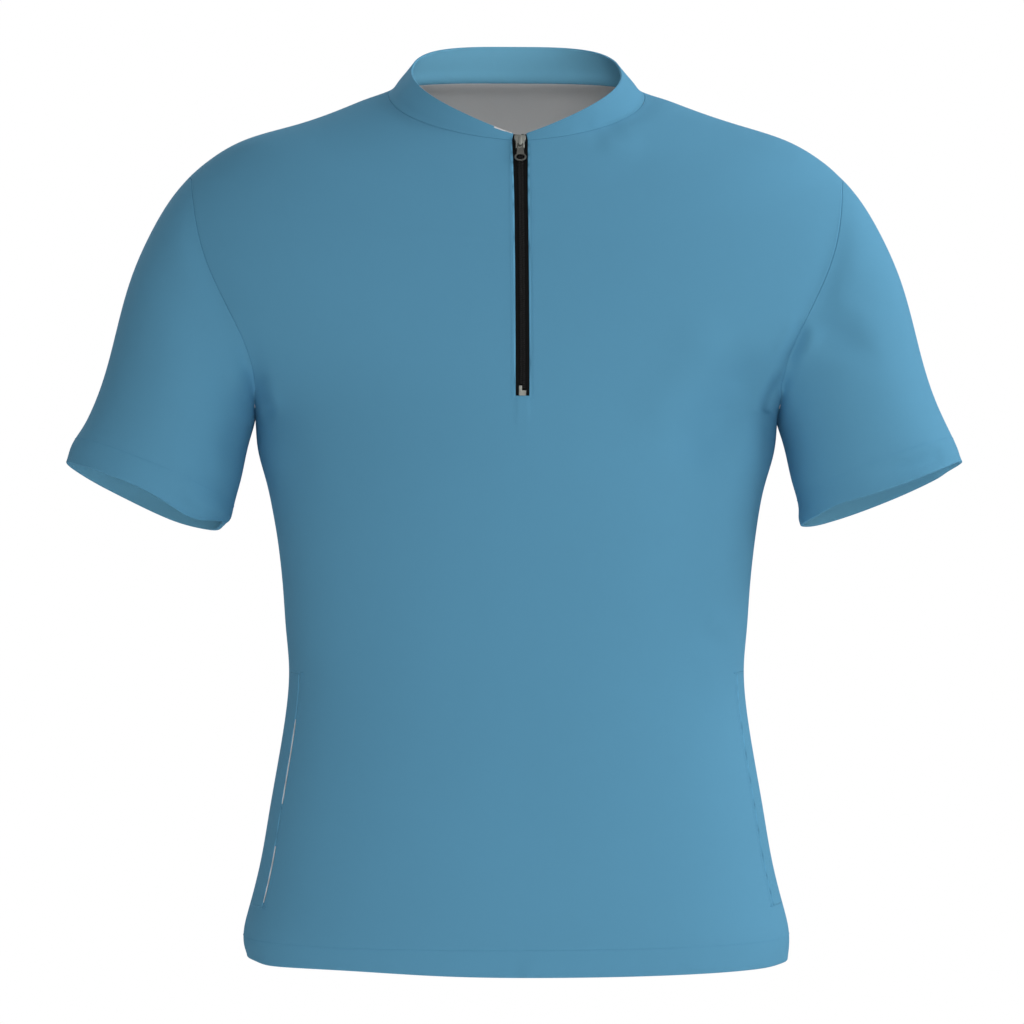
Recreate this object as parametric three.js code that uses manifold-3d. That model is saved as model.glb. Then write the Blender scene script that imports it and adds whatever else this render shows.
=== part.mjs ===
// A short-sleeved batting cage jacket, standing in the shape it has when it is worn, with no wearer in it.
// Millimetres. +Z is up, the front faces -Y, and +X is the wearer's left. The origin is the middle of the
// neck, level with the high points of the shoulders, because the wearer's shoulders carry the jacket.
import * as THREE from "three";
import { mergeVertices } from "three/addons/utils/BufferGeometryUtils.js";
import Module from "manifold-3d";

const wasm = await Module();
wasm.setup();

// Driving sizes of the cloth and its seams
const cloth = 2; // thickness of every cloth wall
const seamGap = 0.3; // between two pieces that are sewn together
const layerGap = 0.4; // between a piece and what lies on it or behind it
const hem = { depth: 25, thick: 3 }; // of the turned-up cloth at the body's hem and the cuffs

// The body is a stack of ovals. down is how far an oval's sides lie below the high shoulder points,
// frontDrop and backDrop how much lower its middles are, half its half width, chest and spine its depth
// in front and behind, and square its squareness, which is 2 for an ellipse.
const bodyOvals = [
  { down: 0, frontDrop: 46, backDrop: -18, half: 104, chest: 76, spine: 70, square: 2.3 },
  { down: 4, frontDrop: 47, backDrop: -14, half: 120, chest: 79, spine: 78, square: 2.3 },
  { down: 10, frontDrop: 49, backDrop: -9, half: 138, chest: 84, spine: 87, square: 2.25 },
  { down: 20, frontDrop: 53, backDrop: -3, half: 166, chest: 91, spine: 97, square: 2.2 },
  { down: 30, frontDrop: 57, backDrop: 3, half: 198, chest: 97, spine: 105, square: 2.15 },
  { down: 40, frontDrop: 59, backDrop: 7, half: 226, chest: 102, spine: 110, square: 2.1 },
  { down: 53, frontDrop: 61, backDrop: 11, half: 248, chest: 108, spine: 114, square: 2.05 },
  { down: 66, frontDrop: 61, backDrop: 13, half: 264, chest: 112, spine: 117, square: 2 },
  { down: 90, frontDrop: 55, backDrop: 12, half: 289, chest: 118, spine: 120, square: 2 },
  { down: 120, frontDrop: 46, backDrop: 9, half: 306, chest: 123, spine: 123, square: 2 },
  { down: 155, frontDrop: 35, backDrop: 6, half: 310, chest: 127, spine: 125, square: 2 },
  { down: 190, frontDrop: 24, backDrop: 4, half: 296, chest: 130, spine: 126, square: 2 },
  { down: 225, frontDrop: 14, backDrop: 2, half: 254, chest: 131, spine: 125, square: 2 },
  { down: 262, frontDrop: 6, backDrop: 1, half: 214, chest: 130, spine: 123, square: 2.1 },
  { down: 290, frontDrop: 2, backDrop: 0, half: 207, chest: 128, spine: 120, square: 2.1 },
  { down: 335, frontDrop: 0, backDrop: 0, half: 200, chest: 124, spine: 115, square: 2.2 },
  { down: 385, frontDrop: 0, backDrop: 0, half: 193, chest: 120, spine: 110, square: 2.3 },
  { down: 450, frontDrop: 0, backDrop: 0, half: 188, chest: 117, spine: 106, square: 2.3 },
  { down: 482, frontDrop: 0, backDrop: 0, half: 186, chest: 117, spine: 107, square: 2.3 },
  { down: 515, frontDrop: 0, backDrop: 0, half: 190, chest: 118, spine: 110, square: 2.3 },
  { down: 580, frontDrop: 0, backDrop: 0, half: 201, chest: 120, spine: 116, square: 2.3 },
  { down: 646, frontDrop: 0, backDrop: 0, half: 213, chest: 122, spine: 121, square: 2.3 },
  { down: 684, frontDrop: 0, backDrop: 0, half: 223, chest: 124, spine: 124, square: 2.3 },
  { down: 710, frontDrop: 0, backDrop: 0, half: 223, chest: 124, spine: 125, square: 2.3 },
];
const neckFade = 45; // how far down the neckline's own dip reaches into the body
const neckVee = 0.35; // how much of that dip is a straight V, the rest being round

// Levels of the cloth's rows, named by where they are
const yokeLevels = [0, 4, 9, 16, 25, 38, 52, 66];
const armholeLevels = [69, 77, 90, 108, 130, 155, 182, 206, 227, 242, 255, 262];
const pocketLevels = [472, 510, 549, 588, 627, 664];
const bodyLevels = [
  ...yokeLevels,
  ...armholeLevels,
  ...[290, 325, 365, 405, 440],
  ...pocketLevels,
  ...[686, 710],
];

// The armhole runs from the shoulder point down to the underarm, and bows out above and in below.
const armhole = { top: 66, topOut: 264, bottom: 262, bottomOut: 214, frontBow: 8, backBow: 4, skew: 1.2 };

// The sleeve's rings, from the armhole to the cuff: how far out and down the ring's top and underarm points
// are, its depth to the front and back, how far ahead it lies, how much its back hangs below its middle,
// and how much its front and back sag.
const sleeveRings = [
  { topOut: 264, topDown: 66, underOut: 214, underDown: 262, front: 79, back: 79, ahead: 0, lean: 0, sag: 0 },
  { topOut: 282, topDown: 87, underOut: 214, underDown: 268, front: 79, back: 78, ahead: 2, lean: 1, sag: 0 },
  { topOut: 300, topDown: 118, underOut: 216, underDown: 277, front: 78, back: 76, ahead: 4, lean: 2, sag: 0 },
  { topOut: 314, topDown: 151, underOut: 219, underDown: 288, front: 76, back: 73, ahead: 7, lean: 3, sag: 0.5 },
  { topOut: 324, topDown: 186, underOut: 222, underDown: 302, front: 72, back: 70, ahead: 10, lean: 4, sag: 1 },
  { topOut: 332, topDown: 219, underOut: 225, underDown: 317, front: 68, back: 66, ahead: 13, lean: 5, sag: 1.5 },
  { topOut: 342, topDown: 251, underOut: 229, underDown: 332, front: 64, back: 63, ahead: 16, lean: 6, sag: 2 },
  { topOut: 355, topDown: 280, underOut: 232, underDown: 346, front: 61, back: 60, ahead: 18, lean: 7, sag: 2 },
  { topOut: 366, topDown: 303, underOut: 234, underDown: 355, front: 60, back: 60, ahead: 20, lean: 7.5, sag: 2 },
];
const armholeReach = 5; // rings over which the armhole's own outline fades into the sleeve's ovals

// The collar stands on the neckline and leans in. Its top edge falls in a V to the zip.
const collar = { half: 86, front: 72, back: 66, side: 18, frontDown: 41, backUp: 47, square: 2.3, rows: 3 };

// The zip and the opening that it closes
const zip = {
  openingTop: 6.5, // half the opening at the neck
  opening: 5.7, // half the opening below
  taperEnd: 30, // level where it has narrowed
  bottomLevel: 242, // level of the opening's lower end
  tapeWidth: 13, // of each tape
  tapeThick: 1,
  teethWidth: 2.3, // of each row of teeth
  teethThick: 1.8,
  split: 1.25, // how far each row swings aside in the slider
  tapeTail: 8, // how far the tapes run on below the opening
  steps: 26, // along the teeth
};
const slider = { length: 13, topHalf: 4.6, bottomHalf: 3.5, shoulder: 2.9, chamfer: 1, top: 3 };
const sliderWall = { plate: 1.2, flange: 0.6, postTip: 0.3, postHalf: 0.8, postLength: 3.2 };
const bail = { half: 1.2, length: 8.5, height: 2.8, thick: 0.8, drop: 1 };
const pull = { barRadius: 0.6, topHalf: 2.4, half: 3.2, thick: 1.1, eyeDrop: 4.2, eyeHalf: 1.7 };
const pullRing = { middle: 12.8, half: 4.75, drop: 3.8, holeHalf: 3.5, holeDrop: 2.6 };
const bottomStop = { half: 2.9, height: 4.2, pinHeight: 8, pinWidth: 2.6 };

const bite = 0.1; // how far two joined solids reach into each other

// The side pockets: each mouth is a slit in the front, beside the side seam.
const pocket = { mouthShare: 0.783, rightGap: 1.6, leftGap: 0.4, lining: 9, liningThick: 1 };

const columns = { slitToMouth: 8, mouthToSide: 2, backHalf: 8 };
const quarter = Math.PI / 2;
const { lerp, clamp } = THREE.MathUtils;

const materials = {
  cloth: new THREE.MeshStandardMaterial({ color: 0x5f9fc4, roughness: 0.75, metalness: 0 }),
  lining: new THREE.MeshStandardMaterial({ color: 0xd8dada, roughness: 0.85, metalness: 0 }),
  tape: new THREE.MeshStandardMaterial({ color: 0x1c1c1d, roughness: 0.7, metalness: 0 }),
  metal: new THREE.MeshStandardMaterial({ color: 0x93968f, roughness: 0.35, metalness: 0.9 }),
  pull: new THREE.MeshStandardMaterial({ color: 0x55544f, roughness: 0.4, metalness: 0.8 }),
};

const jacket = new THREE.Group();
jacket.name = "batting_cage_jacket";

function addPiece(name, geometry, material, parent = jacket) {
  const mesh = new THREE.Mesh(geometry, material);
  mesh.name = name;
  parent.add(mesh);
  return mesh;
}

// Smooth values between the rows of a table, looked up by its first column.
function smoothTable(rows) {
  const names = Object.keys(rows[0]);
  const values = rows.flatMap((row) => names.map((name) => row[name]));
  const curve = new THREE.CubicInterpolant(rows.map((row) => row[names[0]]), values, names.length);
  return (at) => {
    const found = curve.evaluate(at);
    return Object.fromEntries(names.map((name, i) => [name, found[i]]));
  };
}

const bodyOval = smoothTable(bodyOvals);

// ---------- The body's surface ----------

const aroundFromFront = (angle) => Math.abs(Math.atan2(Math.sin(angle), Math.cos(angle)));

// How much of an edge's dip shows at an angle round the neck, from 1 at the middles to 0 at the sides.
function neckDip(angle, vee) {
  const turn = aroundFromFront(angle) / quarter;
  if (turn < 1) return lerp(Math.cos(turn * quarter), 1 - turn, vee);
  return 1 - (2 - turn) ** 2.5;
}

function ovalPoint(angle, half, front, back, square, z) {
  const across = Math.sin(angle);
  const ahead = Math.cos(angle);
  const power = 2 / square;
  return new THREE.Vector3(
    half * Math.sign(across) * Math.abs(across) ** power,
    (ahead > 0 ? -front : back) * Math.abs(ahead) ** power,
    z,
  );
}

// A point of the body: angle 0 is the centre front, a quarter turn the wearer's left side.
function bodyPoint(down, angle) {
  const oval = bodyOval(down);
  const ahead = Math.cos(angle);
  const nearNeck = Math.max(0, 1 - down / neckFade) ** 2;
  const dip = lerp(ahead ** 2, neckDip(angle, neckVee), nearNeck);
  const z = -down - (ahead > 0 ? oval.frontDrop : oval.backDrop) * dip;
  return ovalPoint(angle, oval.half, oval.chest, oval.spine, oval.square, z);
}

function bodyNormal(down, angle) {
  const turn = 0.004;
  const step = 0.5;
  const along = bodyPoint(down, angle + turn).sub(bodyPoint(down, angle - turn));
  const below = bodyPoint(down + step, angle).sub(bodyPoint(Math.max(0, down - step), angle));
  return below.cross(along).normalize();
}

function armholeX(z, bow) {
  const share = clamp((-z - armhole.top) / (armhole.bottom - armhole.top), 0, 1);
  return lerp(armhole.topOut, armhole.bottomOut, share) + bow * Math.sin(2 * Math.PI * share ** armhole.skew);
}

// The angle, counted from the front or from the back, at which a row of the body ends.
function endAngle(down, isFront) {
  if (down <= armhole.top || down >= armhole.bottom) return quarter;
  const bow = isFront ? armhole.frontBow : armhole.backBow;
  let low = 0;
  let high = quarter;
  for (let i = 0; i < 40; i++) {
    const middle = (low + high) / 2;
    const point = bodyPoint(down, isFront ? middle : Math.PI - middle);
    if (point.x < armholeX(point.z, bow)) low = middle;
    else high = middle;
  }
  return low;
}

const openingHalf = (down) => lerp(zip.openingTop, zip.opening, clamp(down / zip.taperEnd, 0, 1));

function openingAngle(half, oval) {
  return Math.asin((half / oval.half) ** (oval.square / 2));
}

// Angles of the front's columns in a row, from the middle to one side: middle, zip opening, then evenly
// to the pocket mouth, then to the side seam or armhole.
function frontStations(down) {
  const end = endAngle(down, true);
  const slit = openingAngle(openingHalf(down), bodyOval(down));
  const mouth = pocket.mouthShare * end;
  const angles = [0];
  for (let i = 0; i <= columns.slitToMouth; i++) angles.push(lerp(slit, mouth, i / columns.slitToMouth));
  for (let i = 1; i <= columns.mouthToSide; i++) angles.push(lerp(mouth, end, i / columns.mouthToSide));
  return angles;
}

const sideColumn = 1 + columns.slitToMouth + columns.mouthToSide;
const mouthColumn = sideColumn - columns.mouthToSide;

// Angles of the back's columns in a row, from the middle to the wearer's left.
function backStations(down) {
  const end = endAngle(down, false);
  const angles = [];
  for (let i = 0; i <= columns.backHalf; i++) angles.push(Math.PI - (end * i) / columns.backHalf);
  return angles;
}

// A cell of cloth is an outer point with the direction, pointing out, along which its inner point is moved
// in. It is longer than 1 where the cloth is thicker.
function bodyCell(down, angle) {
  const inHem = down >= bodyLevels.at(-1) - hem.depth;
  const offset = bodyNormal(down, angle).multiplyScalar(inHem ? hem.thick / cloth : 1);
  return { point: bodyPoint(down, angle), offset };
}

const between = (a, b, share) => ({
  point: a.point.clone().lerp(b.point, share),
  offset: a.offset.clone().lerp(b.offset, share),
});
const movedIn = ({ point, offset }, by) => ({ point: point.clone().addScaledVector(offset, -by), offset });

// ---------- Walls of cloth ----------

// The direction in which a seam's edge is moved in, so that two walls that meet at an angle share it.
const mitre = (a, b) => a.clone().add(b).divideScalar(1 + a.dot(b));

// Normals of a grid of points, from its neighbours. outward is a point's rough outward direction.
function gridCells(points, closed, outward) {
  const last = points.length - 1;
  const count = points[0].length;
  return points.map((row, i) =>
    row.map((point, j) => {
      const before = closed ? row[(j + count - 1) % count] : row[Math.max(j - 1, 0)];
      const after = closed ? row[(j + 1) % count] : row[Math.min(j + 1, count - 1)];
      const along = after.clone().sub(before);
      const below = points[Math.min(i + 1, last)][j].clone().sub(points[Math.max(i - 1, 0)][j]);
      const normal = below.cross(along).normalize();
      if (normal.dot(outward(point, i, j)) < 0) normal.negate();
      return { point: point.clone(), offset: normal };
    }),
  );
}

// A closed wall under a grid of cells. present says which quads are there. The free edges are pulled back
// by inset, which leaves the gap at a seam.
function wall(cells, { thick = cloth, closed = false, inset = seamGap / 2, present = () => true } = {}) {
  const count = cells[0].length;
  const flat = cells.flat();
  const quads = [];
  for (let i = 0; i < cells.length - 1; i++)
    for (let j = 0; j < (closed ? count : count - 1); j++)
      if (present(i, j)) {
        const next = (j + 1) % count;
        quads.push([i * count + j, (i + 1) * count + j, (i + 1) * count + next, i * count + next]);
      }

  // The quads are turned to face out.
  function facing([a, b, , d]) {
    const [first, second, fourth] = [a, b, d].map((vertex) => flat[vertex].point);
    return second.clone().sub(first).cross(fourth.clone().sub(first)).dot(flat[a].offset);
  }
  if (quads.reduce((sum, quad) => sum + facing(quad), 0) < 0) quads.forEach((quad) => quad.reverse());

  const directed = new Map();
  for (const quad of quads)
    quad.forEach((a, i) => {
      const b = quad[(i + 1) % 4];
      directed.set(a + ":" + b, { a, b, quad });
    });
  const rims = [...directed.values()].filter(({ a, b }) => !directed.has(b + ":" + a));

  const inward = new Map();
  for (const { a, b, quad } of rims) {
    const [first, second, third, fourth] = quad.map((vertex) => flat[vertex].point);
    const face = third.clone().sub(first).cross(fourth.clone().sub(second));
    const pointing = face.cross(flat[b].point.clone().sub(flat[a].point)).normalize();
    for (const vertex of [a, b]) {
      const known = inward.get(vertex);
      inward.set(vertex, known ? mitre(known, pointing) : pointing);
    }
  }

  const used = [...new Set(quads.flat())];
  const place = new Map(used.map((vertex, i) => [vertex, i]));
  const positions = [];
  for (const depth of [0, thick])
    for (const vertex of used) {
      const point = flat[vertex].point.clone().addScaledVector(flat[vertex].offset, -depth);
      if (inward.has(vertex)) point.addScaledVector(inward.get(vertex), inset);
      positions.push(...point.toArray());
    }
  const outer = (vertex) => place.get(vertex);
  const inner = (vertex) => place.get(vertex) + used.length;
  const placed = (i) => new THREE.Vector3().fromArray(positions, 3 * i);
  const triangles = [];
  // Two triangles for a quad, split along its shorter diagonal.
  function addQuad(a, b, c, d) {
    const firstIsShorter = placed(a).distanceTo(placed(c)) <= placed(b).distanceTo(placed(d));
    triangles.push(...(firstIsShorter ? [a, b, c, a, c, d] : [a, b, d, b, c, d]));
  }
  for (const quad of quads) {
    addQuad(...quad.map(outer));
    addQuad(...quad.map(inner).reverse());
  }
  for (const { a, b } of rims) addQuad(outer(b), outer(a), inner(a), inner(b));

  const geometry = new THREE.BufferGeometry();
  geometry.setAttribute("position", new THREE.Float32BufferAttribute(positions, 3));
  geometry.setIndex(triangles);
  return geometry;
}

const mirrored = (vector) => new THREE.Vector3(-vector.x, vector.y, vector.z);
const mirroredCells = (cells) =>
  cells.map((row) => row.map(({ point, offset }) => ({ point: mirrored(point), offset: mirrored(offset) })));

// ---------- Sleeves ----------

// The armhole's points, from the shoulder down the front to the underarm, then up the back.
const seamLevels = [armhole.top, ...armholeLevels];
const frontSeam = seamLevels.map((down) => ({ down, angle: endAngle(down, true) }));
const backSeam = seamLevels.map((down) => ({ down, angle: Math.PI - endAngle(down, false) }));
const armholeSeam = [...frontSeam, ...backSeam.slice(1, -1).reverse()];
const armholePoints = armholeSeam.map(({ down, angle }) => bodyPoint(down, angle));
const armholeNormals = armholeSeam.map(({ down, angle }) => bodyNormal(down, angle));

// Each armhole point's angle round the sleeve, by its share of the way from the shoulder to the underarm.
function armholeTurns() {
  const lengths = armholePoints.map((p, k) => p.distanceTo(armholePoints[(k + 1) % armholePoints.length]));
  const half = frontSeam.length - 1;
  const total = (from, to) => lengths.slice(from, to).reduce((sum, length) => sum + length, 0);
  const front = total(0, half);
  const back = total(half, lengths.length);
  return lengths.map((length, k) =>
    k <= half ? (Math.PI * total(0, k)) / front : Math.PI + (Math.PI * total(half, k)) / back,
  );
}

function sleeveOval(ring, turn) {
  const top = new THREE.Vector3(ring.topOut, 0, -ring.topDown);
  const under = new THREE.Vector3(ring.underOut, 0, -ring.underDown);
  const middle = top.clone().add(under).divideScalar(2);
  const rise = top.clone().sub(under).divideScalar(2);
  const axis = new THREE.Vector3(-rise.z, 0, rise.x).normalize().negate(); // out of the cuff
  const ahead = Math.sin(turn);
  const point = middle.addScaledVector(rise, Math.cos(turn));
  point.y = -ring.ahead - (ahead > 0 ? ring.front : ring.back) * ahead;
  return point.addScaledVector(axis, ring.sag * ahead ** 2 - ring.lean * ahead);
}

const turns = armholeTurns();
const sleevePoints = sleeveRings.map((ring, i) =>
  turns.map((turn, k) => {
    const away = armholePoints[k].clone().sub(sleeveOval(sleeveRings[0], turn));
    const fade = Math.max(0, 1 - i / armholeReach) ** 2;
    return sleeveOval(ring, turn).addScaledVector(away, fade);
  }),
);
const sleeveMiddles = sleevePoints.map((row) =>
  row.reduce((sum, point) => sum.add(point), new THREE.Vector3()).divideScalar(row.length),
);
const sleeveCells = gridCells(sleevePoints, true, (point, i) => point.clone().sub(sleeveMiddles[i]));
const armholeOffsets = armholeNormals.map((normal, k) => mitre(normal, sleeveCells[0][k].offset));
for (const k of [0, frontSeam.length - 1]) armholeOffsets[k].y = 0; // where the front and the back meet
for (const { offset } of sleeveCells.slice(-2).flat()) offset.multiplyScalar(hem.thick / cloth);
sleeveCells[0].forEach((cell, k) => (cell.offset = armholeOffsets[k]));

addPiece("sleeve_left", wall(sleeveCells, { closed: true }), materials.cloth);
addPiece("sleeve_right", wall(mirroredCells(sleeveCells), { closed: true }), materials.cloth);

// ---------- Collar ----------

// The neckline's angles, from the zip's left edge round the back to its right edge.
const neckHalf = [...frontStations(0).slice(1, -1), ...backStations(0).reverse()];
const neckAngles = [...neckHalf, ...neckHalf.slice(0, -1).reverse().map((angle) => 2 * Math.PI - angle)];

function collarTopPoint(angle) {
  const z =
    Math.cos(angle) > 0
      ? collar.side - (collar.side + collar.frontDown) * neckDip(angle, 1)
      : collar.side + (collar.backUp - collar.side) * neckDip(angle, 1);
  return ovalPoint(angle, collar.half, collar.front, collar.back, collar.square, z);
}

const collarPoints = [];
for (let i = 0; i <= collar.rows; i++)
  collarPoints.push(
    neckAngles.map((angle) => collarTopPoint(angle).lerp(bodyPoint(0, angle), (i / collar.rows) ** 0.85)),
  );
const collarCells = gridCells(collarPoints, false, (point) => new THREE.Vector3(point.x, point.y, 0));
const neckOffsets = new Map(
  neckAngles.map((angle, j) => [angle, mitre(bodyNormal(0, angle), collarCells[collar.rows][j].offset)]),
);
collarCells[collar.rows].forEach((cell, j) => (cell.offset = neckOffsets.get(neckAngles[j])));
addPiece("collar", wall(collarCells), materials.cloth);

// ---------- Front and back ----------

// Half a panel, from the middle to the wearer's left. At the neckline its offsets are the collar's, and at
// the armhole they are the sleeve's, which seamPlace finds.
function halfPanel(stations, seamPlace) {
  return bodyLevels.map((down) => {
    const cells = stations(down).map((angle) => {
      const cell = bodyCell(down, angle);
      if (down === 0) cell.offset = neckOffsets.get(angle) ?? cell.offset;
      return cell;
    });
    const level = seamLevels.indexOf(down);
    if (level >= 0) cells.at(-1).offset = armholeOffsets[seamPlace(level)];
    return cells;
  });
}

function wholePanel(half) {
  const mirror = mirroredCells(half);
  return half.map((row, i) => [...mirror[i].slice(1).reverse(), ...row]);
}

const frontHalf = halfPanel(frontStations, (level) => level);
const backHalf = halfPanel(backStations, (level) => (armholePoints.length - level) % armholePoints.length);
const zipEndRow = bodyLevels.indexOf(zip.bottomLevel);
const pocketTopRow = bodyLevels.indexOf(pocketLevels[0]);
const pocketBottomRow = bodyLevels.indexOf(pocketLevels.at(-1));

function frontHasQuad(row, column) {
  const fromMiddle = column < sideColumn ? sideColumn - 1 - column : column - sideColumn;
  const inOpening = row < zipEndRow && fromMiddle < 1;
  const inPocket = row >= pocketTopRow && row < pocketBottomRow && fromMiddle >= mouthColumn;
  return !inOpening && !inPocket;
}
addPiece("front_panel", wall(wholePanel(frontHalf), { present: frontHasQuad }), materials.cloth);
addPiece("back_panel", wall(wholePanel(backHalf)), materials.cloth);

// ---------- Side pockets ----------

// The cloth between the mouth and the side seam, gap away from the front's edge.
function pocketFacing(gap) {
  return pocketLevels.map((down) => {
    const mouth = pocket.mouthShare * quarter;
    const perAngle = bodyPoint(down, mouth + 0.01).distanceTo(bodyPoint(down, mouth)) / 0.01;
    const start = mouth + (gap - seamGap) / perAngle;
    const cells = [];
    for (let i = 0; i <= columns.mouthToSide; i++)
      cells.push(bodyCell(down, lerp(start, quarter, i / columns.mouthToSide)));
    return cells;
  });
}

// The lining shows between the two as a strip behind them.
function pocketLining(facing) {
  return facing.map(([start, next], i) => {
    const front = frontHalf[pocketTopRow + i].slice(mouthColumn - 1, mouthColumn + 1);
    const frontShare = 1 - pocket.lining / front[0].point.distanceTo(front[1].point);
    const facingShare = pocket.lining / start.point.distanceTo(next.point);
    const strip = [between(...front, frontShare), front[1], start, between(start, next, facingShare)];
    return strip.map((cell) => movedIn(cell, cloth + layerGap));
  });
}

for (const [side, gap] of [["left", pocket.leftGap], ["right", pocket.rightGap]]) {
  const facing = pocketFacing(gap);
  const lining = pocketLining(facing);
  const sided = (cells) => (side === "left" ? cells : mirroredCells(cells));
  addPiece("pocket_facing_" + side, wall(sided(facing)), materials.cloth);
  addPiece("pocket_lining_" + side, wall(sided(lining), { thick: pocket.liningThick }), materials.lining);
}

// ---------- Zip ----------

// The zip's line runs down the edge of its opening, brought to the middle: first the collar, then the front.
const slitRows = [
  ...collarCells.map((row) => row.slice(0, 2)),
  ...frontHalf.slice(1, zipEndRow + 1).map((row) => row.slice(1, 3)),
];
const zipKnots = slitRows.map(([{ point }]) => new THREE.Vector3(0, point.y, point.z));
const zipCurve = new THREE.CatmullRomCurve3(zipKnots, false, "centripetal");
const zipLength = zipCurve.getLength();

// The place on the zip's line at a distance from its top, with the direction out of the cloth.
function zipPlace(distance) {
  const share = clamp(distance / zipLength, 0, 1);
  const down = zipCurve.getTangentAt(share);
  return { point: zipCurve.getPointAt(share), out: new THREE.Vector3(0, down.z, -down.y).normalize(), down };
}

const sliderMiddle = slider.top + slider.length / 2; // its distance from the zip's top
const sliderSpan = slider.length / 2;

// How far each side of the zip has swung aside at a distance from the top.
function splitAt(distance) {
  return zip.split * THREE.MathUtils.smoothstep(sliderMiddle + 1 - distance, 0, sliderSpan);
}

const atTapeEdge = (edge, next) =>
  between(edge, next, (zip.tapeWidth - edge.point.x) / (next.point.x - edge.point.x));

// A tape lies behind the cloth, from the zip's middle to past the edge of the opening.
function zipTape() {
  let distance = 0;
  const rows = slitRows.map(([edge, next], i) => {
    if (i > 0) distance += zipKnots[i].distanceTo(zipKnots[i - 1]);
    const middle = { point: zipKnots[i].clone(), offset: edge.offset.clone().setX(0) };
    middle.point.x = seamGap / 2 + splitAt(distance);
    return [middle, edge, atTapeEdge(edge, next)];
  });
  const [middle, edge, next] = frontHalf[zipEndRow + 1];
  const tail = [{ ...middle, point: middle.point.clone().setX(seamGap / 2) }, edge, atTapeEdge(edge, next)];
  const tailShare = zip.tapeTail / zipKnots.at(-1).distanceTo(middle.point);
  rows.push(rows.at(-1).map((cell, j) => between(cell, tail[j], tailShare)));
  return rows.map((row) => row.map((cell) => movedIn(cell, cloth + layerGap)));
}

// One row of teeth, as a strip between two heights out of the cloth.
function zipTeeth(from, to) {
  const cells = [];
  for (let i = 0; i <= zip.steps; i++) {
    const distance = lerp(from, to, (i / zip.steps) ** 1.6); // steps are shorter where the rows part
    const { point, out } = zipPlace(distance);
    point.addScaledVector(out, teethFace);
    const start = seamGap / 2 + splitAt(distance);
    cells.push([start, start + zip.teethWidth].map((x) => ({ point: point.clone().setX(x), offset: out })));
  }
  return cells;
}

const tapeFace = -cloth - layerGap; // height of the tape's front face, from the front of the cloth
const teethFoot = tapeFace + layerGap;
const teethFace = teethFoot + zip.teethThick;
const tape = zipTape();
addPiece("zip_tape_left", wall(tape, { thick: zip.tapeThick, inset: 0 }), materials.tape);
addPiece("zip_tape_right", wall(mirroredCells(tape), { thick: zip.tapeThick, inset: 0 }), materials.tape);

const teethWall = { thick: zip.teethThick, inset: 0 };
const leftTeeth = zipTeeth(seamGap, zipLength - bottomStop.height - 2 * seamGap);
const rightTeeth = zipTeeth(seamGap, zipLength - bottomStop.pinHeight - 2 * seamGap);
addPiece("zip_teeth_left", wall(leftTeeth, teethWall), materials.tape);
addPiece("zip_teeth_right", wall(mirroredCells(rightTeeth), teethWall), materials.tape);

// A group whose own axes lie on the zip: +X across, +Z up it and -Y out of the cloth.
function zipFrame(distance) {
  const { point, down } = zipPlace(distance);
  const frame = new THREE.Group();
  frame.position.copy(point);
  frame.rotation.x = Math.atan2(down.y, -down.z);
  jacket.add(frame);
  return frame;
}

// ---------- Small metal pieces, joined and cut as solids ----------

function solidOf(geometry) {
  const bare = geometry.clone();
  bare.deleteAttribute("normal");
  bare.deleteAttribute("uv");
  const merged = mergeVertices(bare, 1e-4);
  return new wasm.Manifold(
    new wasm.Mesh({
      numProp: 3,
      vertProperties: new Float32Array(merged.attributes.position.array),
      triVerts: new Uint32Array(merged.index.array),
    }),
  );
}

function geometryOf(solid) {
  const mesh = solid.getMesh();
  const geometry = new THREE.BufferGeometry();
  geometry.setAttribute("position", new THREE.BufferAttribute(mesh.vertProperties, 3));
  geometry.setIndex(new THREE.BufferAttribute(mesh.triVerts, 1));
  return geometry;
}

// A plate with an outline in X and Z, between two heights out of the cloth.
function plate(outline, low, high) {
  const extrusion = { depth: high - low, bevelEnabled: false, curveSegments: 10 };
  const geometry = new THREE.ExtrudeGeometry(outline, extrusion);
  geometry.rotateX(quarter); // the outline's Y becomes Z, and its depth runs towards -Y
  return geometry.translate(0, -low, 0);
}

function box(halfX, low, high, bottom, top) {
  const geometry = new THREE.BoxGeometry(2 * halfX, high - low, top - bottom);
  return geometry.translate(0, -(low + high) / 2, (bottom + top) / 2);
}

const outlineOf = (points) => new THREE.Shape(points.map(([x, y]) => new THREE.Vector2(x, y)));

const plateFoot = teethFace + layerGap;
const plateFace = plateFoot + sliderWall.plate;
const floorFace = tapeFace - zip.tapeThick - layerGap;

// The slider's outline: straight up to its middle, then widening to its shoulders. margin makes it
// narrower, and over longer.
function sliderOutline(margin, over) {
  const top = slider.topHalf - margin;
  const bottom = slider.bottomHalf - margin;
  const end = sliderSpan + over;
  const right = [
    [bottom, -end], [bottom, 0], [top, slider.shoulder],
    [top, end - slider.chamfer], [top - slider.chamfer, end],
  ];
  return outlineOf([...right, ...right.map(([x, z]) => [-x, z]).reverse()]);
}

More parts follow.
